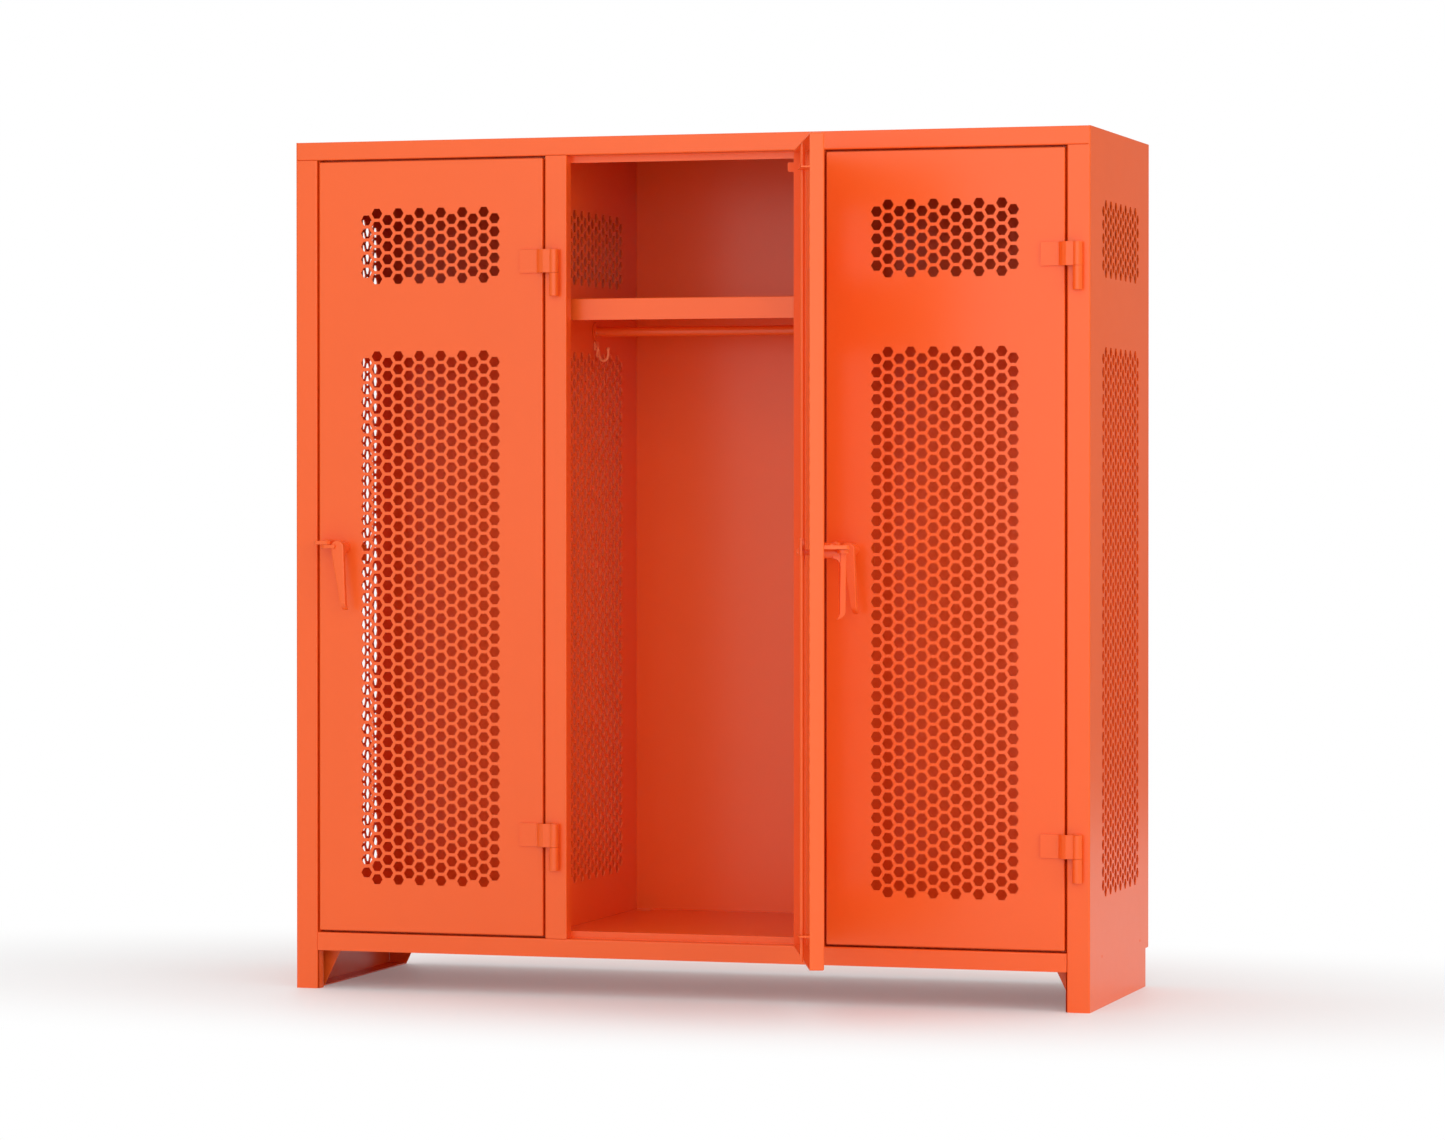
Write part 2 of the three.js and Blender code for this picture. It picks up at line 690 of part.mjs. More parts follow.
for (const [compartment, side] of sides.entries()) {
  const wall = wallLeft(compartment) + seam;
  cabinet.add(named(`${side}_shelf`, shelf(compartment)));
  const rail = placed(`${side}_coat_rail`, coatRail(compartment), wall, depth / 2, coatRailHeight);
  rail.rotation.z = -Math.PI / 2;
  cabinet.add(rail);
  cabinet.add(placed(`${side}_coat_hook`, coatHook(), wall, depth / 2, coatRailHeight - hookDrop));

  const x = hingeX(compartment);
  cabinet.add(placed(`${side}_upper_hinge_pin`, hingePin(upperHingeCentre), x, -barrelProud, 0));
  cabinet.add(placed(`${side}_lower_hinge_pin`, hingePin(lowerHingeCentre), x, -barrelProud, 0));

  const door = new THREE.Group();
  door.position.set(x, -barrelProud, 0);
  door.rotation.z = side === 'middle' ? THREE.MathUtils.degToRad(middleDoorAngle) : 0;
  door.add(named(`${side}_door_sheet`, doorSheet()));
  door.add(named(`${side}_door_rim`, doorRim()));
  door.add(named(`${side}_upper_hinge_strap`, hingeStrap(upperHingeCentre)));
  door.add(named(`${side}_lower_hinge_strap`, hingeStrap(lowerHingeCentre)));
  door.add(named(`${side}_hasp_plate`, haspPlate()));
  door.add(named(`${side}_lever`, lever()));
  door.add(named(`${side}_cam`, cam()));
  door.add(named(`${side}_upper_rod`, upperRod()));
  door.add(named(`${side}_lower_rod`, lowerRod()));
  cabinet.add(door);
}

// The origin is the middle of the footprint, on the floor
const bounds = new THREE.Box3().setFromObject(cabinet, true);
const centre = bounds.getCenter(new THREE.Vector3());
cabinet.position.set(-centre.x, -centre.y, -bounds.min.z);

const locker = new THREE.Group();
locker.add(cabinet);

export default locker;
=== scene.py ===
"""A ventilated steel locker with three compartments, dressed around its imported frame.

Sizes are given in millimetres and turned into metres when a mesh is made. The cabinet's own
coordinates start at the outer front corner of the left side sheet: x to the right, y to the back,
z up. A door's coordinates start on its hinge axis, with the door closed.
"""

import json
import math

import bpy
import numpy as np
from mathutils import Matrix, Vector


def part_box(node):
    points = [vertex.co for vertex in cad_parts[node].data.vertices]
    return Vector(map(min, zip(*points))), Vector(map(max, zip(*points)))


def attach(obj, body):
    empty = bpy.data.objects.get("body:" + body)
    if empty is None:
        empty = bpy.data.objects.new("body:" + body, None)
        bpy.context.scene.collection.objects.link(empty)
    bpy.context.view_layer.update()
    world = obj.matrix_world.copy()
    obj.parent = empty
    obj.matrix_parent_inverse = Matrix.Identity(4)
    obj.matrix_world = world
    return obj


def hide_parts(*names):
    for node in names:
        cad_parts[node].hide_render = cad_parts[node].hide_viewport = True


bl_info = {
    "name": "Ventilated Locker",
    "version": (1, 0, 0),
    "blender": (4, 5, 0),
    "location": "3D View > Sidebar > Locker",
    "description": "Builds the sheets, doors, hinges and latches of a ventilated locker",
    "category": "Add Mesh",
}

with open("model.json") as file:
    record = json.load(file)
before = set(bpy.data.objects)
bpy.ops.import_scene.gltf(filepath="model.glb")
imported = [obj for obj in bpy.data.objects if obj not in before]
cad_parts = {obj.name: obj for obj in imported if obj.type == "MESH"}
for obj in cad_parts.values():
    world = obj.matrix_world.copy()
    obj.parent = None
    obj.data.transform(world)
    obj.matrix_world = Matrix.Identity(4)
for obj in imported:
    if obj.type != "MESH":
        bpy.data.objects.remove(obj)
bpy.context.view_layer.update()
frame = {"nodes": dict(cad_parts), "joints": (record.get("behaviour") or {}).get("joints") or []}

MM = 0.001
SIDES = ("left", "middle", "right")
SIDE_LOW, SIDE_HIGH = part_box("left_side_sheet")
CORNER = np.array([SIDE_LOW.x, SIDE_LOW.y, 0.0])
BACK_LOW, BACK_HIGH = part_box("back_sheet")

# Cabinet sizes in millimetres, as in the part's source
WIDTH = round((BACK_HIGH.x - BACK_LOW.x) / MM, 1)
HEIGHT = round(BACK_HIGH.z / MM, 1)
DEPTH = round((BACK_HIGH.y - CORNER[1]) / MM, 1)
SHEET = round((SIDE_HIGH.x - SIDE_LOW.x) / MM, 1)
SEAM = 0.3
POST_WIDTH = 50.8
FRAME_DEPTH = 31.0
HEADER_BOTTOM = HEIGHT - 40.6
STOP_HEIGHT = 15.4
RAIL_BOTTOM = 86.4
SILL_TOP = 127.0
FLOOR_TOP = SILL_TOP + STOP_HEIGHT
BACK_FRONT = DEPTH - SHEET
OPENING_WIDTH = (WIDTH - 4 * POST_WIDTH) / 3
OPENING_PITCH = OPENING_WIDTH + POST_WIDTH
DIVIDER_INSET = 14.0
SHELF_TOP = HEADER_BOTTOM - 315.0
SHELF_LIP = 48.0
SHELF_FRONT = 60.0
FOOT_NOTCH = 31.0
FOOT_WIDTH = 42.0
GUSSET_TOP = 110.0
GUSSET_FRONT = 55.0

# Coat rail below its shelf, and the hook below the rail
RAIL_DROP = 66.4
RAIL_RADIUS = 10.8
RAIL_FLANGE = 22.0
HOOK_DROP = 32.5
HOOK_PLATE = 4.0
HOOK_WIDTH = 26.0
HOOK_HEIGHT = 20.0
UPPER_PRONG = 3.3
LOWER_PRONG = 3.0
SCREW_SPREAD = 8.5

# Weld marks: the balls that dent a sheet, their (y, z) on a side, and their rows on the back
MARK_BALL = 4.0
MARK_DEPTH = 1.8
WELD_MARKS = ((122.0, 111.0), (518.0, 109.0))
MARK_INSET = 6.0
MARK_MARGIN = 60.0
MARK_ROWS = 9

# Doors, in hinge coordinates
DOOR_GAP = 4.8
DOOR_DEPTH = 30.0
DOOR_FACE = 10.8
DOOR_HINGE_EDGE = -(POST_WIDTH / 2 + DOOR_GAP)
DOOR_FREE_EDGE = DOOR_HINGE_EDGE - (OPENING_WIDTH - 2 * DOOR_GAP)
DOOR_BOTTOM = SILL_TOP + DOOR_GAP
DOOR_TOP = HEADER_BOTTOM - DOOR_GAP
PRY_TAB_DROP = 25.6
PRY_TAB_HEIGHT = 20.6
PRY_TAB_REACH = 13.2
PRY_TAB_CLIP = 2.5

# Hinges: the crank's corners are shares of its length and of its height
BARREL_RADIUS = 10.5
BARREL_SIDES = 48
KNUCKLE_HEIGHT = 52.0
PIN_RADIUS = 4.0
PIN_LENGTH = 40.0
HINGE_CENTRES = {"upper": DOOR_TOP - 255.1, "lower": DOOR_BOTTOM + 199.2}
STRAP_THICKNESS = 4.6
STRAP_REACH = 83.0
STRAP_END = 6.0
STRAP_BEND = 2.4
STRAP_STAND_OFF = 6.8
CRANK_START = 42.0
CRANK_END = 24.0
CRANK_SHARES = ((0, 0), (0.17, 0.37), (0.5, 0.77), (1, 1))

# Lever and padlock plate; half of the lever's section runs from its crown round to its back, as
# shares of the half width, heights over the edge of the crown and shares of the thickness
LATCH_X = DOOR_FREE_EDGE + 61.7
LATCH_HEIGHT = 994.0
LEVER_HEAD = 15.5
LEVER_LENGTH = 140.0
LEVER_STAND_OFF = 37.0
LEVER_THICKNESS = 12.0
LEVER_TIP = 6.0
LEVER_ROUND = 3.0
LEVER_STRAIGHT = 0.89
HEAD_LEAN = 1.6
HEAD_LEAN_HEIGHT = 4.0
LEVER_SHIFT = 15.0
LEVER_CURL = 14.0
LEVER_LIP = 7.0
LEVER_FILLET = 16.0
LEVER_CROWN = 1.2
LEVER_SECTION = np.array([
    (0, 1.2, 0), (0.35, 1.2, 0), (0.6, 1.15, 0), (0.8, 1.05, 0), (0.9, 0.9, 0), (0.97, 0.4, 0),
    (1, -0.6, 0), (1, 0, 0.85), (0.95, 0, 0.97), (0.8, 0, 1)])
BOSS_RADIUS = 13.0
SPINDLE_RADIUS = 6.0
NUT_RADIUS = 8.8
PLATE_LIFT = 7.0
PLATE_THICKNESS = 8.0
PLATE_REACH = 53.0
PLATE_INSET = 6.0
PLATE_CLIP = 6.0
RIVET_REACH = 16.0
PADLOCK = (LATCH_X - LEVER_HEAD - 12.0, DOOR_FACE - PLATE_REACH + 12.0)
PADLOCK_RADIUS = 5.0

# Cam and rods
CAM_RADIUS = 40 / math.sqrt(2)
CAM_END = 10.0
CAM_PIN = 3.5
CAM_FRONT = DOOR_FACE + 39.5
CAM_THICKNESS = 4.0
ROD_LEVELS = ("upper", "lower")
ROD_RADIUS = 4.5
ROD_OFFSET = CAM_RADIUS * (1 + 1 / math.sqrt(2)) / 2
ROD_INSET = 15.0
EYE_THICKNESS = 4.0
EYE_GAP = 0.5
EYE_WALL = 5.5
EYE_REACH = 26.0
SLOT_RISE = 5.0
SLOT_PLAY = 4.0
BAR_LAP = 9.0
GUIDE_FRONT = 22.0
GUIDE_THICKNESS = 3.0
GUIDE_PLAY = 0.6
GUIDE_WALL = 4.0
GUIDE_INSET = 70.0

# Vent fields: heights of their middles, and the holes in a shorter column
VENT_FIELDS = ((836.0, 40), (1669.0, 5))
DOOR_VENT_COLUMNS = 13
SIDE_VENT_COLUMNS = 15
SIDE_VENT_CENTRE = 311.0

# Points along a fold, and the angle in degrees past which an edge is sharp
FOLD_POINTS = 6
SHARP_ANGLE = 38.0

# How far the coat's roughness varies, and the foot of the grey cards in metres
GLOSS_SPREAD = 0.015
CARD_FOOT = 0.02

# Camera: lens in millimetres, shift, place in the cabinet's millimetres, and turns in degrees
CAMERA_LENS = 118.13
CAMERA_SHIFT = (-0.01556, -0.03045)
CAMERA_PLACE = (4042.18, -9948.99, 1126.89)
CAMERA_TILT = 0.4565
CAMERA_TURN = 16.705


# Pieces and their modifiers

def piece_from(name, points, faces, body, nodes=()):
    """A mesh object in row-frame metres that rides on a body and stands for CAD nodes."""
    mesh = bpy.data.meshes.new(name)
    mesh.from_pydata(np.asarray(points, float).reshape(-1, 3).tolist(), [], faces)
    mesh.validate()
    piece = bpy.data.objects.new(name, mesh)
    bpy.context.scene.collection.objects.link(piece)
    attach(piece, body)
    if nodes:
        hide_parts(*nodes)
    return piece


def cabinet_piece(name, part, *nodes):
    """A surface in cabinet millimetres as a piece of the cabinet."""
    points, faces = part
    return piece_from(name, in_cabinet(points), faces, "cabinet", nodes)


def door_piece(side, name, part, *nodes, body="door"):
    """A surface in hinge millimetres as a piece of a door or of what moves on it."""
    points, faces = part
    nodes = [f"{side}_{node}" for node in nodes]
    return piece_from(f"{side}_{name}", on_door(side, points), faces, f"{side}_{body}", nodes)


def settle(piece, colour="coat_colour"):
    """Modifiers are worked into the mesh, which is shaded smooth except over its sharp edges.

    Its normals lean to the larger faces, so that a flat face stays flat beside a bend.
    """
    bpy.context.view_layer.update()
    graph = bpy.context.evaluated_depsgraph_get()
    mesh = bpy.data.meshes.new_from_object(piece.evaluated_get(graph))
    piece.modifiers.clear()
    old, piece.data = piece.data, mesh
    bpy.data.meshes.remove(old)
    mesh.name = piece.name
    mesh.shade_smooth()
    mesh.set_sharp_from_angle(angle=math.radians(SHARP_ANGLE))
    mesh.materials.clear()
    mesh.materials.append(powder_coat(colour))
    add_modifier(piece, "even", "WEIGHTED_NORMAL", keep_sharp=True)


def add_modifier(piece, name, kind, **settings):
    """A modifier with its settings."""
    modifier = piece.modifiers.new(name, kind)
    for key, value in settings.items():
        setattr(modifier, key, value)


def add_wall(piece, thickness):
    """The wall of a sheet grows behind its visible face."""
    add_modifier(piece, "wall", "SOLIDIFY", thickness=thickness * MM, offset=-1, use_even_offset=True)


def add_bevel(piece, name, width, segments, angle):
    """Edges sharper than the angle are rounded over the width."""
    add_modifier(piece, name, "BEVEL", width=width * MM, segments=segments, limit_method="ANGLE",
                 angle_limit=math.radians(angle), use_clamp_overlap=True)


def thickened(piece, bend=0.0):
    """A sheet gets its wall; where there is a bend, its folds are rounded by it first."""
    if bend:
        add_bevel(piece, "folds", bend, 4, 50.0)
    add_wall(piece, SHEET)
    settle(piece)


def chamfered(piece, width, angle=35.0, colour="coat_colour"):
    """Where there is a width, edges sharper than the angle are eased by it."""
    if width:
        add_bevel(piece, "ease", width, 2, angle)
    settle(piece, colour)


# Points and faces

def welded(quads):
    """Four-cornered faces as points and indices: corners less than a hundredth of a millimetre
    apart are one point."""
    flat = np.asarray(quads, float).reshape(-1, 3)
    keys = np.round(flat * 100).astype(np.int64)
    _, first, inverse = np.unique(keys, axis=0, return_index=True, return_inverse=True)
    return flat[first], inverse.reshape(-1, 4)


def grid_faces(rows, columns, closed=False):
    """Four-cornered faces of a grid of points; closed joins the last column to the first."""
    index = np.arange(rows * columns).reshape(rows, columns)
    across = np.roll(index, -1, 1) if closed else index[:, 1:]
    here = index if closed else index[:, :-1]
    return np.stack([here[:-1], across[:-1], across[1:], here[1:]], -1).reshape(-1, 4)


def quads_of(grid):
    """Corners of the faces of a grid of points."""
    return grid.reshape(-1, 3)[grid_faces(*grid.shape[:2])]


def carried(line, stations):
    """A line of (a, b) repeated at each station: a grid of (a, b, station)."""
    grid = np.empty((len(line), len(stations), 3))
    grid[..., 0:2] = np.asarray(line, float)[:, None]
    grid[..., 2] = stations
    return grid


def strip(one, other):
    """Faces between two lines that have the same number of points."""
    return np.stack([one[:-1], one[1:], other[1:], other[:-1]], 1)


def normals_of(corners):
    """The direction in which each face looks, from its first three corners."""
    return np.cross(corners[:, 1] - corners[:, 0], corners[:, 2] - corners[:, 0])


def facing(points, faces, direction):
    """A sheet's faces are turned so that their area as a whole looks along the direction."""
    ahead = (normals_of(points[faces]) @ np.asarray(direction, float)).sum() > 0
    return (faces if ahead else faces[:, ::-1]).tolist()


def facing_away(points, faces, inside):
    """Each face is turned away from a point well inside the sheet's folds."""
    corners = points[faces]
    away = corners.mean(1) - np.asarray(inside, float)
    turned = (normals_of(corners) * away).sum(1) < 0
    return np.where(turned[:, None], faces[:, ::-1], faces).tolist()


def outward(points, faces):
    """A closed surface is turned so that the volume under its faces is positive."""
    volume = 0.0
    for face in faces:
        ring = points[list(face)]
        volume += np.cross(ring[1:-1] - ring[0], ring[2:] - ring[0]).sum(0) @ ring[0]
    return faces if volume > 0 else [tuple(reversed(face)) for face in faces]


def tube(rings):
    """Rings of points, each a closed loop, joined in order and closed by a flat face at each end."""
    rings = np.asarray(rings, float)
    rows, columns = rings.shape[:2]
    faces = grid_faces(rows, columns, closed=True).tolist()
    faces.append(tuple(range(columns))[::-1])
    faces.append(tuple(range((rows - 1) * columns, rows * columns)))
    points = rings.reshape(-1, 3)
    return points, outward(points, faces)


def prism(outline, low, high):
    """An outline carried straight up and closed at both ends."""
    return tube(carried(outline, (low, high)).swapaxes(0, 1))


def laid(part, axes, shift=(0, 0, 0)):
    """A closed surface with its axes exchanged and then moved, its faces turned outward again."""
    points = part[0][:, axes] + np.asarray(shift, float)
    return points, outward(points, part[1])


def gathered(*parts):
    """Several closed surfaces as one mesh."""
    points, faces, start = [], [], 0
    for part_points, part_faces in parts:
        points.append(part_points)
        faces += [tuple(int(i) + start for i in face) for face in part_faces]
        start += len(part_points)
    return np.concatenate(points), faces


# Folded lines

def rounded_path(corners, inner, thickness, side):
    """A folded line: every corner becomes an arc that touches both legs.

    The arc's radius is the inner radius, plus the thickness where the fold turns towards the
    side the wall is on, so that the wall keeps the same bends on both of its faces.
    """
    corners = np.asarray(corners, float)
    line = [corners[:1]]
    for before, corner, after in zip(corners[:-2], corners[1:-1], corners[2:]):
        along = (corner - before) / np.linalg.norm(corner - before)
        leaving = (after - corner) / np.linalg.norm(after - corner)
        turn = along[0] * leaving[1] - along[1] * leaving[0]
        angle = math.acos(np.clip(along @ leaving, -1, 1))
        radius = inner + thickness if turn * side > 0 else inner
        aside = leaving - (leaving @ along) * along
        aside /= np.linalg.norm(aside)
        start = corner - along * radius * math.tan(angle / 2)
        steps = np.linspace(0, angle, FOLD_POINTS)[:, None]
        line.append(start + radius * (aside * (1 - np.cos(steps)) + along * np.sin(steps)))
    line.append(corners[-1:])
    return np.concatenate(line)


def swept_sheet(line, low, high, place):
    """A folded line carried straight from low to high, with its faces to the front as a whole;
    place turns (a, b, along) into (x, y, z)."""
    points = place(carried(line, (low, high))).reshape(-1, 3)
    return points, facing(points, grid_faces(len(line), 2), (0, -1, 0))


def across_x(grid):
    """(y, z, x) to (x, y, z)."""
    return np.stack([grid[..., 2], grid[..., 0], grid[..., 1]], -1)


def upright(grid):
    """(x, y, z) stays as it is."""
    return grid


# Places

def in_cabinet(points):
    """Cabinet millimetres to row-frame metres."""
    return np.asarray(points, float) * MM + CORNER


def mirrored(side, x):
    """A place on the left side, or its mirror image on the right."""
    return WIDTH - x if side == "right" else x


def hinge_of(side):
    """Foot of a door's hinge axis in metres, and how far the door stands open at rest."""
    joint = next(j for j in frame["joints"] if j["name"] == f"{side}_door_hinge")
    axis_foot = np.array(joint["pos_m"], float)
    return axis_foot, math.radians(-joint["range_deg"][0])


def on_door(side, points):
    """Hinge millimetres to row-frame metres: turned about the upright axis, then set on it."""
    foot, turn = hinge_of(side)
    x, y, z = np.moveaxis(np.asarray(points, float) * MM, -1, 0)
    cos, sin = math.cos(turn), math.sin(turn)
    return np.stack([foot[0] + x * cos - y * sin, foot[1] + x * sin + y * cos, z], -1)


# Finish

def set_inputs(tree, node, inputs):
    """Each input of a node gets a value, or a link where the value is another node's output."""
    for key, value in inputs.items():
        if isinstance(value, bpy.types.NodeSocket):
            tree.links.new(value, node.inputs[key])
        else:
            node.inputs[key].default_value = value


def add_node(tree, kind, inputs, **settings):
    """A shader node with its settings and inputs."""
    node = tree.nodes.new(f"ShaderNode{kind}")
    for key, value in settings.items():
        setattr(node, key, value)
    set_inputs(tree, node, inputs)
    return node


def powder_coat(colour="coat_colour"):
    """Powder coat: a fine peel, broad sheet waves, and slightly uneven colour and gloss."""
    name = f"powder_{colour}"
    if name in bpy.data.materials:
        return bpy.data.materials[name]
    paint = bpy.context.scene.locker_paint
    material = bpy.data.materials.new(name)
    material.use_nodes = True
    tree = material.node_tree
    place = add_node(tree, "TexCoord", {}).outputs["Object"]

    def noise(scale, detail):
        inputs = {"Vector": place, "Scale": scale, "Detail": detail}
        return add_node(tree, "TexNoise", inputs).outputs["Fac"]

    base = np.array(getattr(paint, colour)[:])
    shades = add_node(tree, "ValToRGB", {"Fac": noise(scale=7.0, detail=3.0)})
    ends = zip(shades.color_ramp.elements, (0.3, 0.7), (-paint.colour_spread, paint.colour_spread))
    for element, position, change in ends:
        element.position = position
        element.color = (*np.minimum(base * (1 + change), 1), 1)
    gloss = add_node(tree, "MapRange", {
        "Value": noise(scale=40.0, detail=4.0),
        "To Min": paint.coat_roughness - GLOSS_SPREAD, "To Max": paint.coat_roughness + GLOSS_SPREAD})
    waves = add_node(tree, "Bump", {
        "Height": noise(scale=3.0, detail=0.0), "Strength": 0.12, "Distance": 0.0012})
    peel = add_node(tree, "Bump", {
        "Height": noise(scale=520.0, detail=2.0), "Strength": 0.1, "Distance": paint.peel_height,
        "Normal": waves.outputs["Normal"]})
    set_inputs(tree, tree.nodes["Principled BSDF"], {
        "Base Color": shades.outputs["Color"], "Roughness": gloss.outputs["Result"],
        "Normal": peel.outputs["Normal"], "IOR": 1.5, "Metallic": 0.0})
    return material


# Surfaces

def lathe(profile, sides, place):
    """(radius, height) pairs turned once round the upright axis; place sets the result."""
    radius, height = np.asarray(profile, float).T
    turn = np.arange(sides) * 2 * math.pi / sides
    rings = np.stack([radius[:, None] * np.cos(turn), radius[:, None] * np.sin(turn),
                      np.broadcast_to(height[:, None], (len(height), sides))], -1)
    return tube(place(rings))


def about(x, y):
    """Moves a turned piece onto the upright line at x, y."""
    return lambda points: points + np.array([x, y, 0.0])


def along_x(y, z, x=0.0):
    """Lays a turned piece down so that its height runs along x from x, through y and z."""
    return lambda points: np.stack([points[..., 2] + x, points[..., 0] + y, points[..., 1] + z], -1)


def along_y(x, z):
    """Lays a turned piece down so that its height runs along y, through x and z."""
    return lambda points: np.stack([points[..., 0] + x, points[..., 2], points[..., 1] + z], -1)


def rays(centre, outline, turns):
    """Points where rays from the centre at the given turns leave a convex outline."""
    outline = np.asarray(outline, float) - np.asarray(centre, float)
    edge = np.roll(outline, -1, 0) - outline
    normal = np.stack([edge[:, 1], -edge[:, 0]], -1)
    reach = (normal * outline).sum(1)
    normal, reach = normal * np.sign(reach)[:, None], np.abs(reach)
    way = np.stack([np.cos(turns), np.sin(turns)], -1)
    facing_way = way @ normal.T
    length = np.where(facing_way > 1e-9, reach / np.maximum(facing_way, 1e-9), np.inf).min(1)
    return np.asarray(centre, float) + way * length[:, None]


def holed_plate(outline, centre, hole, low, high, sides=32):
    """A convex plate with one convex hole: four matched loops joined into a closed ring.

    The loops are where rays from the hole's centre meet the hole and the outline, with the
    directions of the outline's corners among them, at the plate's two heights.
    """
    towards = np.asarray(outline, float) - np.asarray(centre, float)
    turns = np.concatenate([np.arange(sides) * 2 * math.pi / sides,
                            np.arctan2(towards[:, 1], towards[:, 0]) % (2 * math.pi)])
    turns = np.unique(np.round(turns, 6))
    outer = rays(centre, outline, turns)
    inner = (rays(centre, hole, turns) if np.ndim(hole) else
             np.asarray(centre) + hole * np.stack([np.cos(turns), np.sin(turns)], -1))
    sections = ((inner, low), (inner, high), (outer, high), (outer, low), (inner, low))
    loops = np.stack([carried(loop, (height,))[:, 0] for loop, height in sections])
    points, faces = welded(loops.reshape(-1, 3)[grid_faces(*loops.shape[:2], closed=True)])
    return points, outward(points, faces.tolist())


def rectangle(x0, x1, y0, y1):
    """Corners of a rectangle."""
    return [(x0, y0), (x1, y0), (x1, y1), (x0, y1)]


def round_ended(x0, x1, y, radius, steps=12):
    """Outline of a strip along x with a half circle at its low end and a square high end."""
    turn = np.linspace(math.pi / 2, 3 * math.pi / 2, steps)
    arc = np.stack([x0 + radius + radius * np.cos(turn), y + radius * np.sin(turn)], -1)
    return np.concatenate([[(x1, y + radius)], arc, [(x1, y - radius)]])


def smooth_line(points, steps):
    """A curve through the points: each span is the cubic whose slopes are half the distance
    between its neighbours on both sides."""
    points = np.asarray(points, float)
    padded = np.concatenate([2 * points[:1] - points[1:2], points, 2 * points[-1:] - points[-2:-1]])
    a, b, c, d = (padded[i:len(padded) - 3 + i][:, None] for i in range(4))
    t = (np.arange(steps) / steps)[None, :, None]
    span = 0.5 * (2 * b + (c - a) * t + (2 * a - 5 * b + 4 * c - d) * t ** 2
                  + (3 * b - a - 3 * c + d) * t ** 3)
    return np.concatenate([span.reshape(-1, 3), points[-1:]])


def wire(points, radius, aside, sides=12, steps=8, ball=1.25):
    """A round wire along a smooth line, with a ball at its free end.

    Each ring lies square to the line; aside is a direction that the line never follows. The ball
    is made by rings whose radius is that of a sphere cut at their distance past its middle.
    """
    line = smooth_line(points, steps)
    ahead = np.gradient(line, axis=0)
    ahead /= np.linalg.norm(ahead, axis=1)[:, None]
    swell = radius * ball
    angle = np.linspace(-0.9, math.pi / 2 * 0.93, 8)
    tip = line[-1] + ahead[-1] * (swell * (0.6 + np.sin(angle)))[:, None]
    radii = np.concatenate([np.full(len(line), radius), swell * np.cos(angle)])
    line = np.concatenate([line, tip])
    ahead = np.concatenate([ahead, np.broadcast_to(ahead[-1], tip.shape)])
    across = np.cross(ahead, np.asarray(aside, float))
    across /= np.linalg.norm(across, axis=1)[:, None]
    up = np.cross(across, ahead)
    turn = np.arange(sides) * 2 * math.pi / sides
    rings = line[:, None] + radii[:, None, None] * (
        across[:, None] * np.cos(turn)[:, None] + up[:, None] * np.sin(turn)[:, None])
    return tube(rings)


# Folded sheets of the cabinet

def folded(name, corners, wall_side, low, high, place, *nodes):
    """A sheet of the cabinet folded along a line of corners and carried straight."""
    inner = bpy.context.scene.locker_sheets.bend_radius / MM
    line = rounded_path(corners, inner, SHEET, wall_side)
    thickened(cabinet_piece(name, swept_sheet(line, low, high, place), *nodes))


def top_and_header():
    """Top, header face, its underside and the door stop as one folded sheet."""
    start = bpy.context.scene.locker_sheets.bend_radius / MM + SHEET + 0.1
    folded("top_and_header",
           [(BACK_FRONT - SEAM, HEIGHT), (0, HEIGHT), (0, HEADER_BOTTOM),
            (FRAME_DEPTH, HEADER_BOTTOM), (FRAME_DEPTH, HEADER_BOTTOM - STOP_HEIGHT)],
           1, start, WIDTH - start, across_x, "top_sheet", "header")


def front_rail():
    """Face of the base with the sill and the lower door stop."""
    folded("front_rail",
           [(0, RAIL_BOTTOM), (0, SILL_TOP), (FRAME_DEPTH, SILL_TOP), (FRAME_DEPTH, FLOOR_TOP)],
           -1, POST_WIDTH + SEAM, WIDTH - POST_WIDTH - SEAM, across_x, "bottom_rail")


def middle_post(side, index):
    """Channel between two doors, open to the back."""
    x = index * OPENING_PITCH
    folded(f"{side}_middle_stile",
           [(x, FRAME_DEPTH), (x, 0), (x + POST_WIDTH, 0), (x + POST_WIDTH, FRAME_DEPTH)],
           1, SILL_TOP + SEAM, HEADER_BOTTOM - SEAM, upright, f"{side}_middle_post")


def compartment_walls(index):
    """Inner faces of the walls left and right of a compartment."""
    left = SHEET if index == 0 else index * OPENING_PITCH + DIVIDER_INSET + SHEET
    right = WIDTH - SHEET if index == 2 else (index + 1) * OPENING_PITCH + DIVIDER_INSET
    return left + SEAM, right - SEAM


def shelf(side, index):
    """Shelf with a turned-down lip at its front."""
    low, high = compartment_walls(index)
    folded(f"{side}_hat_shelf",
           [(SHELF_FRONT, SHELF_TOP - SHELF_LIP), (SHELF_FRONT, SHELF_TOP),
            (BACK_FRONT - SEAM, SHELF_TOP)],
           -1, low, high, across_x, f"{side}_shelf")


# Coat fittings and feet

def coat_rail(side, index):
    """Tube between two flanges on the walls, turned about a line along x."""
    low, high = compartment_walls(index)
    rim, ease = RAIL_FLANGE, 0.8
    profile = [(rim - ease, low), (rim, low + ease), (rim, low + 2.2), (rim - ease, low + 3),
               (RAIL_RADIUS + 1.5, low + 3.2), (RAIL_RADIUS + 0.3, low + 4.4), (RAIL_RADIUS, low + 6)]
    profile += [(radius, low + high - x) for radius, x in reversed(profile)]
    part = lathe(profile, 40, along_x(DEPTH / 2, SHELF_TOP - RAIL_DROP))
    settle(cabinet_piece(f"{side}_clothes_rail", part, f"{side}_coat_rail"))


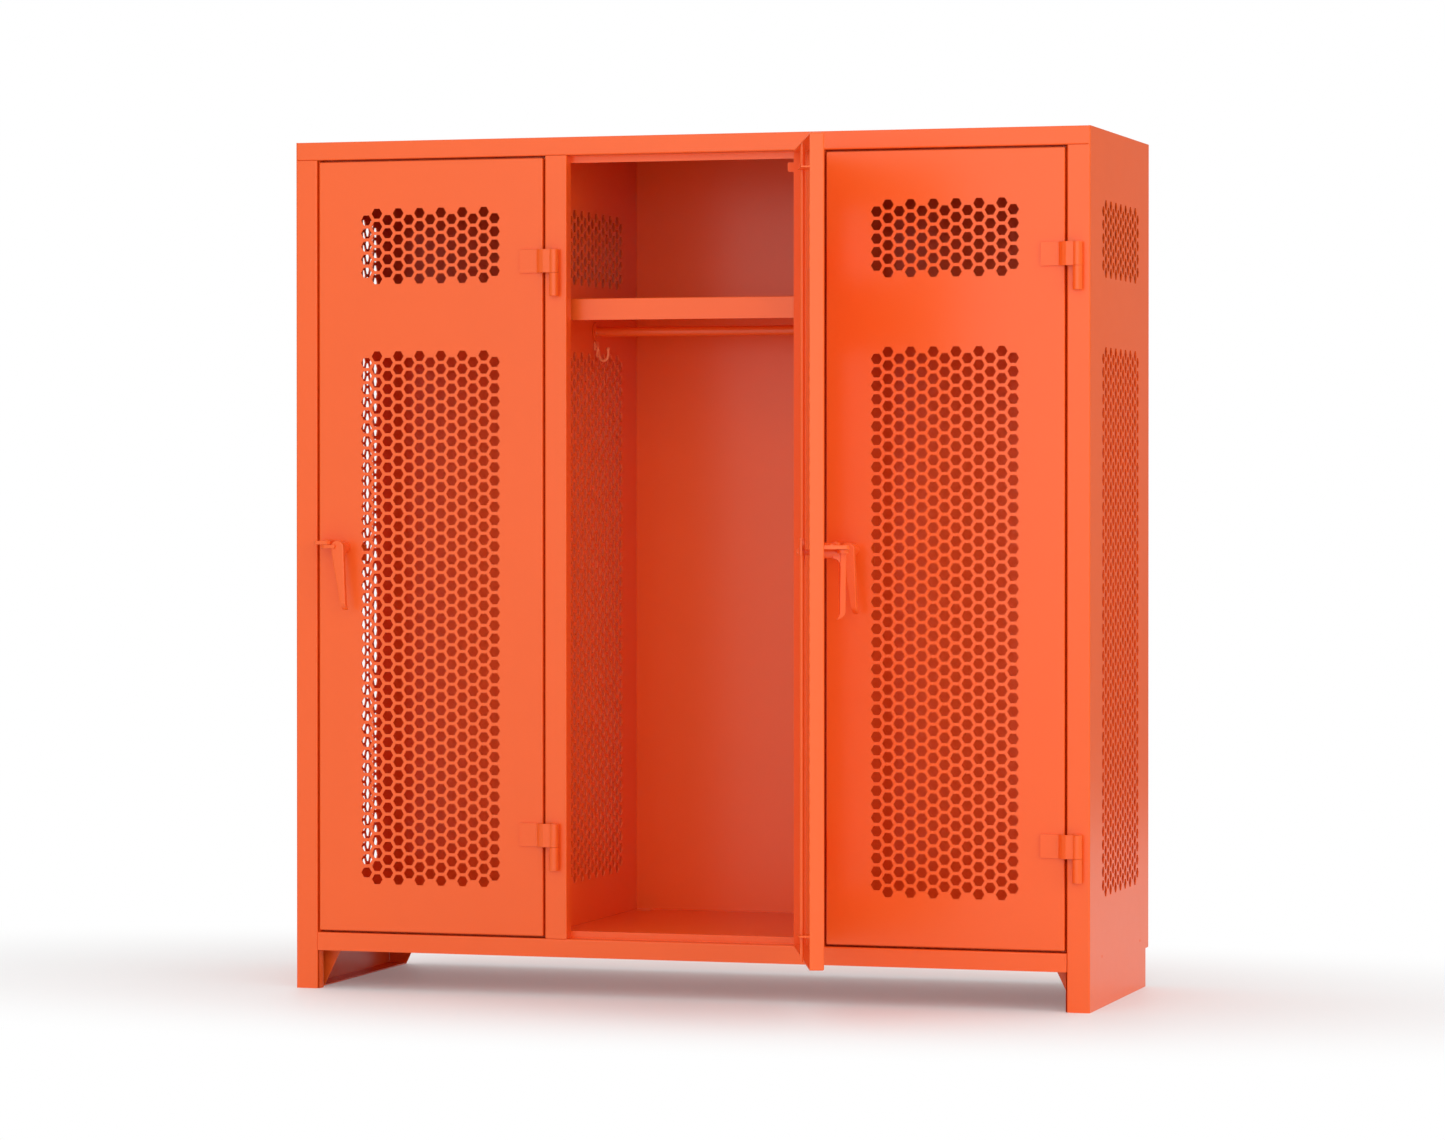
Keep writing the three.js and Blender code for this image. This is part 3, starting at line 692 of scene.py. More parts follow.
def coat_hook(side, index):
    """Two round prongs with ball ends on a small plate: one turns up, one leans to the front."""
    wall = compartment_walls(index)[0]
    place = np.array([wall, DEPTH / 2, SHELF_TOP - RAIL_DROP - HOOK_DROP])
    plate = prism(rectangle(0, HOOK_PLATE, -HOOK_WIDTH / 2, HOOK_WIDTH / 2),
                  -HOOK_HEIGHT / 2, HOOK_HEIGHT / 2)
    upper = wire([(3, 0, 0), (7, 0, -10), (8, 0, -20), (13, 0, -30), (20, 0, -33), (27, 0, -29),
                  (30, 0, -20), (30, 0, -9)], UPPER_PRONG, (0, 1, 0))
    lower = wire([(3, 0, -6), (7, -6, -16), (10, -16, -22), (13, -28, -22), (17, -38, -16),
                  (19, -41, -11)], LOWER_PRONG, (1, 0.1, 0))
    screws = [lathe([(3.2, 0), (3.2, 1.0), (2.2, 1.8)], 16, along_x(y, 0, HOOK_PLATE))
              for y in (-SCREW_SPREAD, SCREW_SPREAD)]
    points, faces = gathered(plate, upper, lower, *screws)
    piece = cabinet_piece(f"{side}_wall_hook", (points + place, faces), f"{side}_coat_hook")
    # The hooks get a paler copy of the coat: painted light, standing in for the front light that catches
    # them.
    chamfered(piece, 0.5, colour="hook_colour")


def foot(side):
    """Flange on the floor, with a gusset that widens up to the floor sheet at both of its ends."""
    edge, top = SHEET + SEAM, FLOOR_TOP - SHEET - SEAM
    front, rear = FRAME_DEPTH + SHEET + SEAM, DEPTH - FOOT_NOTCH
    outline = np.array([(edge, 0), (edge + FOOT_WIDTH, 0), (edge + GUSSET_TOP, top), (edge, top)])
    floor = np.array(rectangle(edge, edge + FOOT_WIDTH, front, rear))
    outline[:, 0], floor[:, 0] = mirrored(side, outline[:, 0]), mirrored(side, floor[:, 0])
    gussets = [laid(prism(outline, y, y + SHEET), (0, 2, 1)) for y in (GUSSET_FRONT, rear - SHEET)]
    part = gathered(prism(floor, 0, SHEET), *gussets)
    chamfered(cabinet_piece(f"{side}_foot_bracket", part, f"{side}_foot"), 0.9)


# Hinges

def knuckle(side, level):
    """Lower knuckle on the stile with its pin."""
    centre, full = HINGE_CENTRES[level], BARREL_RADIUS
    low, tip = centre - KNUCKLE_HEIGHT, centre + PIN_LENGTH
    profile = [(full - 1.2, low), (full - 0.3, low + 0.4), (full, low + 1.2), (full, centre - 0.8),
               (full - 0.2, centre - 0.3), (full - 0.7, centre), (PIN_RADIUS, centre),
               (PIN_RADIUS, tip - 1), (PIN_RADIUS - 1, tip)]
    points, faces = lathe(profile, BARREL_SIDES, upright)
    axis, _ = hinge_of(side)
    settle(piece_from(f"{side}_{level}_knuckle", points * MM + [axis[0], axis[1], 0], faces, "cabinet",
                      (f"{side}_{level}_hinge_pin",)))


def strap(side, level):
    """Cranked leaf and the upper knuckle.

    The leaf lies on the door, rises steeply, bends over the gap in shares of the crank's length
    and height, and runs level into the barrel, which has a blind bore for the pin.
    """
    node, centre, full = f"{level}_hinge_strap", HINGE_CENTRES[level], BARREL_RADIUS
    low, high = centre + SEAM, centre + KNUCKLE_HEIGHT
    leaf = DOOR_FACE - SEAM - STRAP_THICKNESS
    crank = [(-CRANK_START + (CRANK_START - CRANK_END) * along, leaf - (leaf + STRAP_STAND_OFF) * out)
             for along, out in CRANK_SHARES]
    corners = [(-STRAP_REACH, leaf), *crank, (-STRAP_END, -STRAP_STAND_OFF)]
    line = rounded_path(corners, STRAP_BEND, STRAP_THICKNESS, 1)
    piece = door_piece(side, f"{level}_leaf", swept_sheet(line, low, high, upright), node)
    add_wall(piece, STRAP_THICKNESS)
    chamfered(piece, 0.5, angle=60)
    bore = PIN_RADIUS + 0.3
    profile = [(bore, centre + PIN_LENGTH + 0.3), (bore, low), (full - 0.7, low), (full - 0.2, low + 0.2),
               (full, low + 0.7), (full, high - 1.2), (full - 0.5, high - 0.4), (full - 1.5, high)]
    settle(door_piece(side, f"{level}_barrel", lathe(profile, BARREL_SIDES, upright), node))


# Latch

def hasp(side):
    """Plate that stands out from the door over the lever, with the padlock hole and a rivet."""
    low, clip = LATCH_HEIGHT + PLATE_LIFT, PLATE_CLIP
    x0, x1, top = DOOR_FREE_EDGE + PLATE_INSET, LATCH_X - LEVER_HEAD - 1.0, low + PLATE_THICKNESS
    root, edge = DOOR_FACE - SEAM, DOOR_FACE - PLATE_REACH
    outline = [(x0, root), (x0, edge + clip), (x0 + clip, edge), (x1 - clip, edge), (x1, edge + clip),
               (x1, root)]
    plate = holed_plate(outline, PADLOCK, PADLOCK_RADIUS, low, top)
    chamfered(door_piece(side, "padlock_plate", plate, "hasp_plate"), 0.8)
    profile = [(5.2, top), (5.0, top + 0.9), (4.0, top + 2.2), (2.3, top + 3.0), (0.6, top + 3.3)]
    rivet = lathe(profile, 24, about((x0 + x1) / 2, DOOR_FACE - RIVET_REACH))
    settle(door_piece(side, "plate_rivet", rivet))


def lever_blade():
    """Sections across the lever's length, each a bar with a slightly crowned face.

    The half width follows a circle over the head and tapers below it. Both faces are straight
    down to the last tenth, where they bend to the door by the square of the distance. The face
    also leans back by the square of the distance at the top of the head.
    """
    turn = np.linspace(0.12, math.pi / 2, 10)
    share = np.concatenate([np.linspace(0, 0.9, 15)[1:], np.linspace(0.9, 1, 8)[1:]])
    end = np.linspace(0, math.pi / 2, 5)[1:]
    z = np.concatenate([LEVER_HEAD * np.cos(turn), (LEVER_ROUND - LEVER_LENGTH) * share,
                        LEVER_ROUND - LEVER_LENGTH - LEVER_ROUND * np.sin(end)])
    half = np.concatenate([LEVER_HEAD * np.sin(turn),
                           LEVER_HEAD + (LEVER_TIP - LEVER_HEAD) * share ** 0.9,
                           LEVER_TIP - LEVER_ROUND * (1 - np.cos(end))])
    down = np.clip(-z / LEVER_LENGTH, 0, 1)
    bend = np.clip((down - LEVER_STRAIGHT) / (1 - LEVER_STRAIGHT), 0, 1) ** 2
    lean = np.clip((z - LEVER_HEAD + HEAD_LEAN_HEIGHT) / HEAD_LEAN_HEIGHT, 0, 1) ** 2
    outer = LEVER_STAND_OFF + LEVER_THICKNESS - LEVER_CURL * bend - HEAD_LEAN * lean
    inner = LEVER_STAND_OFF - LEVER_LIP * bend
    across, crown, depth = np.concatenate([LEVER_SECTION, LEVER_SECTION[:0:-1] * (-1, 1, 1)]).T
    x = (LEVER_SHIFT * down)[:, None] + half[:, None] * across
    out = (outer - LEVER_CROWN)[:, None] + crown - (outer - inner - LEVER_CROWN)[:, None] * depth
    height = np.broadcast_to(LATCH_HEIGHT + z[:, None], x.shape)
    return tube(np.stack([LATCH_X + x, DOOR_FACE - out, height], -1))


def lever_neck():
    """Block between the lever's head and its boss, with a quarter round below it."""
    quarter = np.linspace(0, math.pi / 2, 10)
    root = LEVER_STAND_OFF - LEVER_FILLET
    fillet = np.stack([root + LEVER_FILLET * np.cos(quarter),
                       -BOSS_RADIUS - LEVER_FILLET * (1 - np.sin(quarter))], -1)
    side_line = np.concatenate([
        [(LEVER_STAND_OFF + 2, -BOSS_RADIUS - LEVER_FILLET)], fillet,
        [(root, 6.0), (LEVER_STAND_OFF, BOSS_RADIUS - 1), (LEVER_STAND_OFF + 2, BOSS_RADIUS - 1)]])
    points, faces = prism(side_line, -BOSS_RADIUS + 1.5, BOSS_RADIUS - 1.5)
    return laid((points * (-1, 1, 1), faces), (2, 0, 1), (LATCH_X + 1.0, DOOR_FACE, LATCH_HEIGHT))


def lever(side):
    """Cast handle with its neck and boss, the spindle and its nut, and the padlock ear."""
    front, back = DOOR_FACE - SEAM, CAM_FRONT + CAM_THICKNESS
    on_spindle = along_y(LATCH_X, LATCH_HEIGHT)
    boss = lathe([(BOSS_RADIUS, front), (BOSS_RADIUS, DOOR_FACE - LEVER_STAND_OFF + 4)], 40, on_spindle)
    spindle = lathe([(SPINDLE_RADIUS, front - 2), (SPINDLE_RADIUS, back + 9.2),
                     (SPINDLE_RADIUS - 0.8, back + 10)], 28, on_spindle)
    corner = np.arange(6) * math.pi / 3
    nut = prism(NUT_RADIUS * np.stack([np.cos(corner), np.sin(corner)], -1), back + 0.3, back + 8.3)
    nut = laid(nut, (0, 2, 1), (LATCH_X, 0, LATCH_HEIGHT))
    ear_top = LATCH_HEIGHT + PLATE_LIFT - 0.8
    ear = holed_plate(round_ended(PADLOCK[0] - 12, LATCH_X - 4, PADLOCK[1], 12.0), PADLOCK,
                      PADLOCK_RADIUS, ear_top - PLATE_THICKNESS, ear_top)
    for name, part, ease in (("handle", gathered(lever_blade(), boss), 0),
                             ("lever_neck", lever_neck(), 1.2), ("spindle", spindle, 0),
                             ("spindle_nut", nut, 0.6), ("padlock_ear", ear, 0.8)):
        chamfered(door_piece(side, name, part, "lever", body="latch"), ease)


def cam(side):
    """Round-ended bar on the spindle, leaning 45 degrees, with a pin at each end."""
    lean, back = -math.pi / 4, CAM_FRONT + CAM_THICKNESS
    turn = np.linspace(-math.pi / 2, math.pi / 2, 14) + lean
    pin = CAM_RADIUS * np.array([math.cos(lean), math.sin(lean)])
    half = CAM_END * np.stack([np.cos(turn), np.sin(turn)], -1) + pin
    plate = holed_plate(np.concatenate([half, -half]), (0.0, 0.0), SPINDLE_RADIUS + 0.3, CAM_FRONT,
                        back, 40)
    plate = laid(plate, (0, 2, 1), (LATCH_X, 0, LATCH_HEIGHT))
    reach = EYE_GAP + EYE_THICKNESS
    pins = [lathe([(CAM_PIN, low), (CAM_PIN, high)], 24,
                  along_y(LATCH_X + way * pin[0], LATCH_HEIGHT + way * pin[1]))
            for way, low, high in ((1, CAM_FRONT - reach, CAM_FRONT + 1), (-1, back - 1, back + reach))]
    piece = door_piece(side, "latch_cam", gathered(plate, *pins), "cam", body="latch")
    chamfered(piece, 0.4)


def rod_place(level):
    """A rod's x, the front of its eye, the y of its bar, its way up or down, and its tip's height."""
    if level == "upper":
        front = CAM_FRONT - EYE_GAP - EYE_THICKNESS
        return LATCH_X + ROD_OFFSET, front, front + ROD_RADIUS, 1, DOOR_TOP - ROD_INSET
    front = CAM_FRONT + CAM_THICKNESS + EYE_GAP
    y = front + EYE_THICKNESS - ROD_RADIUS
    return LATCH_X - ROD_OFFSET, front, y, -1, DOOR_BOTTOM + ROD_INSET


def latch_rod(side, level):
    """Flat eye with a slot for the cam's pin, and a round bar with a pointed end."""
    x, front, y, way, tip = rod_place(level)
    eye = LATCH_HEIGHT - way * CAM_RADIUS / math.sqrt(2)
    half_slot = (CAM_RADIUS - CAM_RADIUS / math.sqrt(2)) / 2 + SLOT_PLAY
    ends = sorted([eye - way * (SLOT_RISE + EYE_WALL), eye + way * EYE_REACH])
    plate = holed_plate(rectangle(x - half_slot - EYE_WALL, x + half_slot + EYE_WALL, *ends), (x, eye),
                        rectangle(x - half_slot, x + half_slot, eye - SLOT_RISE, eye + SLOT_RISE),
                        front, front + EYE_THICKNESS)
    start = eye + way * (EYE_REACH - BAR_LAP)
    profile = [(ROD_RADIUS - 0.5, start), (ROD_RADIUS, start + way * 0.5), (ROD_RADIUS, tip - way * 14),
               (3.6, tip - way * 9), (1.9, tip - way * 2), (1.3, tip)]
    bar = lathe(profile, 28, about(x, y))
    for name, part, ease in (("eye", laid(plate, (0, 2, 1)), 0.4), ("bar", bar, 0)):
        piece = door_piece(side, f"{level}_rod_{name}", part, f"{level}_rod", body=f"{level}_rod")
        chamfered(piece, ease)


def rod_guides(side):
    """Small plates welded inside the free edge of the door, which the rods slide through."""
    for level in ROD_LEVELS:
        x, _, y, way, _ = rod_place(level)
        z = DOOR_TOP - GUIDE_INSET if way > 0 else DOOR_BOTTOM + GUIDE_INSET
        outline = rectangle(DOOR_FREE_EDGE + SHEET / 2, x + ROD_RADIUS + GUIDE_WALL,
                            DOOR_FACE + GUIDE_FRONT, y + ROD_RADIUS + GUIDE_WALL)
        part = holed_plate(outline, (x, y), ROD_RADIUS + GUIDE_PLAY, z - GUIDE_THICKNESS / 2,
                           z + GUIDE_THICKNESS / 2)
        chamfered(door_piece(side, f"{level}_rod_guide", part, "door_rim"), 0.4)


def pry_tab(side):
    """Tab that carries the hinge edge of the rim on behind the frame, with two clipped corners."""
    top, clip = DOOR_TOP - PRY_TAB_DROP, PRY_TAB_CLIP
    root, bottom = DOOR_FACE + DOOR_DEPTH - SEAM, top - PRY_TAB_HEIGHT
    back = DOOR_FACE + DOOR_DEPTH + PRY_TAB_REACH
    outline = [(back - clip, top), (root, top), (root, bottom), (back - clip, bottom),
               (back, bottom + clip), (back, top - clip)]
    part = laid(prism(outline, DOOR_HINGE_EDGE - SHEET, DOOR_HINGE_EDGE), (2, 0, 1))
    chamfered(door_piece(side, "pry_tab", part, "door_rim"), 0.5)


# Vented sheets and weld marks

def up_line(u, levels):
    """Points of an upright line at the levels."""
    return np.stack([np.full_like(levels, u), levels], -1)


def level_line(reach, v):
    """Points of a level line at the places along it."""
    return np.stack([reach, np.full_like(reach, v)], -1)


def vent_pattern(low, high, middle, columns, cut):
    """Flat faces of an upright sheet with two fields of hexagons, as corners (u, v).

    A hexagon of the lattice has its flats one pitch apart and its columns cos 30 of a pitch apart.
    Each hole is that hexagon shrunk by the share, so six faces join the hole to its hexagon. The
    ragged border of a field is joined straight down, up and sideways to lines at its own levels.
    """
    sheet = bpy.context.scene.locker_sheets
    (u_low, v_low), (u_high, v_high) = low, high
    pitch = sheet.vent_pitch / MM
    radius, half = pitch / math.sqrt(3), pitch / 2
    order = np.arange(columns)
    u = middle + (order - (columns - 1) / 2) * pitch * math.cos(math.pi / 6)
    corner = np.arange(6) * math.pi / 3
    hexagon = np.stack([np.cos(corner), np.sin(corner)], -1) * radius
    ends = np.stack([u - radius / 2, u + radius / 2], -1).reshape(-1)
    lines, faces = [np.full(2 * columns, v_low)], []
    for field_middle, rows in VENT_FIELDS:
        count = np.where(order % 2 == 0, rows, rows + 1)
        column = np.repeat(order, count)
        row = np.concatenate([np.arange(c) for c in count])
        v = field_middle + (row - (count[column] - 1) / 2) * pitch
        outer = np.stack([u[column], v], -1)[:, None] + hexagon
        inner = outer + hexagon * (sheet.vent_share - 1)
        faces.append(np.stack(
            [inner, outer, np.roll(outer, -1, 1), np.roll(inner, -1, 1)], 2).reshape(-1, 4, 2))
        lines += [np.repeat(field_middle - count * half, 2), np.repeat(field_middle + count * half, 2)]
        levels = field_middle - rows * half + np.arange(2 * rows + 1) * half
        bulge = np.where(np.arange(2 * rows + 1) % 2 == 1, radius / 2, 0.0)
        for edge, end, way in ((u_low, ends[0], -1), (u_high, ends[-1], 1)):
            faces.append(strip(up_line(edge, levels), np.stack([end + way * bulge, levels], -1)))
    lines += [np.full(2 * columns, cut), np.full(2 * columns, v_high)]
    reach = np.concatenate([[u_low], ends, [u_high]])
    for below, above in ((0, 1), (2, 3), (4, 5), (5, 6)):
        faces.append(strip(*(np.stack([reach, np.concatenate([line[:1], line, line[-1:]])], -1)
                             for line in (lines[below], lines[above]))))
    return np.concatenate(faces)


def upright_faces(flat):
    """Corners of each face in the order that turns to the left on (u, v)."""
    a, b = flat[:, 1] - flat[:, 0], flat[:, 2] - flat[:, 0]
    turned = a[:, 0] * b[:, 1] - a[:, 1] * b[:, 0] < 0
    flat[turned] = flat[turned, ::-1]
    return flat


def border_levels(cut, v_low, v_high):
    """Heights of the points along the upright borders of a vented sheet."""
    half = bpy.context.scene.locker_sheets.vent_pitch / MM / 2
    levels = [np.array([v_low])]
    for field_middle, rows in VENT_FIELDS:
        levels.append(field_middle - rows * half + np.arange(2 * rows + 1) * half)
    levels.append(np.array([cut, v_high]))
    return np.concatenate(levels)


def with_skirt(flat, notch):
    """The sheet goes on down to the floor, but there only as far back as the notch.

    The lowest face at the rear gets a corner at the notch: it becomes two faces, of which the
    rear one has the middle of the rear edge as its fourth corner.
    """
    rear = flat[..., 0].max()
    at_foot = np.abs(flat[..., 1] - RAIL_BOTTOM) < SEAM
    last = np.flatnonzero((at_foot & (flat[..., 0] > rear - SEAM)).any(1))[0]
    inner, outer, top_outer, top_inner = flat[last]
    corner = np.array([notch, RAIL_BOTTOM])
    split = np.array([[inner, corner, top_outer, top_inner],
                      [corner, outer, (outer + top_outer) / 2, top_outer]])
    reach = np.unique(np.round(flat[at_foot][:, 0], 4))
    reach = np.append(reach[:-1], notch)
    skirt = strip(level_line(reach, 0.0), level_line(reach, RAIL_BOTTOM))
    return np.concatenate([np.delete(flat, last, 0), split, skirt])


def vented_side(side):
    """Side sheet, stile and its return as one folded sheet.

    The vented part is flat. Past its front border the same levels follow the folded line round the
    front corner; below the header they go on over the stile to the end of the return.
    """
    cut = HEADER_BOTTOM - SEAM
    line = rounded_path([(0, BACK_FRONT), (0, 0), (POST_WIDTH, 0), (POST_WIDTH, FRAME_DEPTH)],
                        bpy.context.scene.locker_sheets.bend_radius / MM, SHEET, 1)
    flat = vent_pattern((line[1, 1], RAIL_BOTTOM), (BACK_FRONT - SEAM, HEIGHT), SIDE_VENT_CENTRE,
                        SIDE_VENT_COLUMNS, cut)
    flat = with_skirt(flat, DEPTH - FOOT_NOTCH)
    levels = np.concatenate([[0.0], border_levels(cut, RAIL_BOTTOM, HEIGHT)])
    quads = np.concatenate([
        np.stack([np.zeros_like(flat[..., 0]), flat[..., 0], flat[..., 1]], -1),
        quads_of(carried(line[1:1 + FOLD_POINTS], levels)),
        quads_of(carried(line[FOLD_POINTS:], levels[:-1]))])
    quads[..., 0] = mirrored(side, quads[..., 0])
    points, faces = welded(quads)
    faces = facing_away(points, faces, (mirrored(side, POST_WIDTH * 4), DEPTH / 2, HEIGHT / 2))
    piece = cabinet_piece(f"{side}_vented_side", (points, faces), f"{side}_side_sheet", f"{side}_post")
    thickened(piece)
    dented(piece, [(mirrored(side, MARK_DEPTH - MARK_BALL), y, z) for y, z in WELD_MARKS])


def vented_divider(side):
    """Flat sheet between two compartments, notched at the top of its front edge by the stop."""
    index = 1 if side == "left" else 2
    x = index * OPENING_PITCH + DIVIDER_INSET
    front, bottom = SHEET + SEAM, FLOOR_TOP + SEAM
    notch_back = FRAME_DEPTH + SHEET + SEAM
    notch_bottom = HEADER_BOTTOM - STOP_HEIGHT - SEAM
    flat = vent_pattern((notch_back, bottom), (BACK_FRONT - SEAM, HEIGHT - SHEET - SEAM),
                        SIDE_VENT_CENTRE, SIDE_VENT_COLUMNS, notch_bottom)
    levels = border_levels(notch_bottom, bottom, HEIGHT)[:-1]
    tongue = strip(up_line(front, levels), up_line(notch_back, levels))
    flat = upright_faces(np.concatenate([flat, tongue]))
    points, faces = welded(np.stack([np.full_like(flat[..., 0], x + SHEET), flat[..., 0], flat[..., 1]], -1))
    part = (points, facing(points, faces, (1, 0, 0)))
    thickened(cabinet_piece(f"{side}_vented_divider", part, f"{side}_divider"))


def vented_door(side):
    """Door pan: a vented face with four flanges folded back at its borders."""
    sheet = bpy.context.scene.locker_sheets
    middle = (DOOR_FREE_EDGE + DOOR_HINGE_EDGE) / 2
    cut = (VENT_FIELDS[1][0] + DOOR_TOP) / 2 + 3 * sheet.vent_pitch / MM / 2
    flat = upright_faces(vent_pattern((DOOR_FREE_EDGE, DOOR_BOTTOM), (DOOR_HINGE_EDGE, DOOR_TOP), middle,
                                      DOOR_VENT_COLUMNS, cut))
    levels = border_levels(cut, DOOR_BOTTOM, DOOR_TOP)
    reach = np.unique(np.round(flat[np.abs(flat[..., 1] - DOOR_TOP) < SEAM][:, 0], 4))
    quads = [np.stack([flat[..., 0], np.full_like(flat[..., 0], DOOR_FACE), flat[..., 1]], -1)]
    for border in (up_line(DOOR_FREE_EDGE, levels), up_line(DOOR_HINGE_EDGE, levels),
                   level_line(reach, DOOR_BOTTOM), level_line(reach, DOOR_TOP)):
        flange = carried(border, (DOOR_FACE, DOOR_FACE + DOOR_DEPTH)).swapaxes(0, 1)
        quads.append(quads_of(flange[..., (0, 2, 1)]))
    points, faces = welded(np.concatenate(quads))
    inside = (middle, DOOR_FACE + DOOR_DEPTH / 2, (DOOR_BOTTOM + DOOR_TOP) / 2)
    part = (points, facing_away(points, faces, inside))
    piece = door_piece(side, "door_pan", part, "door_sheet", "door_rim")
    thickened(piece, sheet.bend_radius / MM + SHEET)


def dented(piece, centres):
    """Weld marks: shallow round dents, cut by balls whose centres lie off the sheet."""
    turn = np.linspace(-1.5, 1.5, 24)
    ball = lathe(np.stack([MARK_BALL * np.cos(turn), MARK_BALL * np.sin(turn)], -1), 48, upright)
    points, faces = gathered(*((ball[0] + np.asarray(centre), ball[1]) for centre in centres))
    balls = bpy.data.objects.new("balls", bpy.data.meshes.new("balls"))
    balls.data.from_pydata(in_cabinet(points).tolist(), [], faces)
    bpy.context.scene.collection.objects.link(balls)
    add_modifier(piece, "dents", "BOOLEAN", object=balls)
    piece.modifiers.move(len(piece.modifiers) - 1, 0)
    settle(piece)
    bpy.data.meshes.remove(balls.data)


def back_sheet():
    """Plain sheet lapped over the sides, with rows of weld marks on the sides and dividers."""
    outline = rectangle(0, WIDTH, RAIL_BOTTOM, HEIGHT)
    part = laid(prism(outline, BACK_FRONT, DEPTH), (0, 2, 1))
    piece = cabinet_piece("rear_sheet", part, "back_sheet")
    chamfered(piece, 0.5)
    dividers = [index * OPENING_PITCH + DIVIDER_INSET + SHEET / 2 for index in (1, 2)]
    walls = [SHEET + MARK_INSET, *dividers, WIDTH - SHEET - MARK_INSET]
    heights = np.linspace(RAIL_BOTTOM + MARK_MARGIN, HEIGHT - MARK_MARGIN, MARK_ROWS)
    dented(piece, [(x, DEPTH + MARK_BALL - MARK_DEPTH, z) for x in walls for z in heights])


# Stage

def make_stage():
    """Floor, world, soft lamps, grey cards and the camera; places in metres."""
    stage = bpy.context.scene.locker_stage
    bpy.ops.mesh.primitive_plane_add(size=60)
    floor = bpy.context.object
    floor.name = "floor"
    floor.data.materials.append(floor_finish(stage))
    add_world(stage)
    add_lamp("left_lamp", (-5.0, 1.2, 4.2), (0.0, 0.2, 0.8), (2.6, 2.6), stage.left_power)
    add_lamp("front_lamp", (1.1, -6.3, 2.7), (0.0, 0.0, 1.0), (8.0, 4.5), stage.front_power)
    add_lamp("right_lamp", (6.5, -2.5, 2.5), (0.6, 0.2, 1.0), (3.0, 3.0), stage.right_power, False)
    add_shade_card("rear_card", [(1.4, 5.0), (12.0, 5.0)], 5.0, stage.card_shade)
    add_shade_card("left_card", [(-3.5, -3.5), (-3.5, 3.0)], 4.0, stage.side_card_shade)
    add_shade_card("right_card", [(4.5, -4.0), (4.5, 1.4)], 4.0, stage.side_card_shade)
    add_camera()


def floor_finish(stage):
    """Pale floor that the camera sees turn white, by the distance from the locker in an oval."""
    material = bpy.data.materials.new("floor_finish")
    material.use_nodes = True
    tree = material.node_tree
    shader = tree.nodes["Principled BSDF"]
    set_inputs(tree, shader, {
        "Base Color": (*stage.floor_colour[:], 1), "Roughness": 0.55, "Specular IOR Level": 0.3})
    place = add_node(tree, "TexCoord", {}).outputs["Object"]
    oval = add_node(tree, "Mapping", {
        "Vector": place, "Location": (0.0, -0.3, 0.0), "Scale": (0.45, 1.0, 1.0)})
    length = add_node(tree, "VectorMath", {0: oval.outputs["Vector"]}, operation="LENGTH")
    fade = add_node(tree, "MapRange", {
        "Value": length.outputs["Value"], "From Min": 0.35, "From Max": 1.35,
        "To Min": stage.floor_lift}, interpolation_type="SMOOTHSTEP")
    camera_ray = add_node(tree, "LightPath", {}).outputs["Is Camera Ray"]
    seen = add_node(tree, "Math", {0: fade.outputs["Result"], 1: camera_ray}, operation="MULTIPLY")
    white = add_node(tree, "Emission", {"Strength": 1.0})
    mix = add_node(tree, "MixShader", {
        "Fac": seen.outputs["Value"], 1: shader.outputs["BSDF"], 2: white.outputs["Emission"]})
    set_inputs(tree, tree.nodes["Material Output"], {"Surface": mix.outputs["Shader"]})
    return material


def add_world(stage):
    """A world that is white where it is seen or reflected, and a little dimmer as light."""
    world = bpy.data.worlds.new("studio")
    bpy.context.scene.world = world
    world.use_nodes = True
    tree = world.node_tree
    path = add_node(tree, "LightPath", {}).outputs
    seen = path["Is Camera Ray"]
    for ray in ("Is Glossy Ray", "Is Transmission Ray"):
        seen = add_node(tree, "Math", {0: seen, 1: path[ray]}, operation="MAXIMUM").outputs["Value"]
    strength = add_node(tree, "MapRange", {"Value": seen, "To Min": stage.ambient, "To Max": 1.0})
    set_inputs(tree, tree.nodes["Background"], {
        "Color": (1, 1, 1, 1), "Strength": strength.outputs["Result"]})


def add_lamp(name, place, target, size, power, shines=True):
    """A rectangular area lamp that looks at a target; one that doesn't shine shows in no gloss."""
    lamp = bpy.data.lights.new(name, "AREA")
    lamp.shape = "RECTANGLE"
    lamp.size, lamp.size_y = size
    lamp.energy = power
    holder = bpy.data.objects.new(name, lamp)
    holder.location = place
    holder.visible_camera = False
    holder.visible_glossy = shines
    holder.rotation_euler = (Vector(target) - Vector(place)).to_track_quat("-Z", "Y").to_euler()
    bpy.context.scene.collection.objects.link(holder)


def add_shade_card(name, ends, height, shade):
    """A grey card out of the camera's sight, which the locker's gloss reflects instead of white."""
    mesh = bpy.data.meshes.new(name)
    points = carried(ends, (CARD_FOOT, height)).reshape(-1, 3)
    mesh.from_pydata(points.tolist(), [], grid_faces(2, 2).tolist())
    card = bpy.data.objects.new(name, mesh)
    bpy.context.scene.collection.objects.link(card)
    card.visible_camera = card.visible_diffuse = card.visible_shadow = False
    material = bpy.data.materials.new(f"{name}_finish")
    material.use_nodes = True
    material.cycles.emission_sampling = "NONE"
    tree = material.node_tree
    grey = add_node(tree, "Emission", {"Color": (shade, shade, shade, 1)})
    set_inputs(tree, tree.nodes["Material Output"], {"Surface": grey.outputs["Emission"]})
    mesh.materials.append(material)


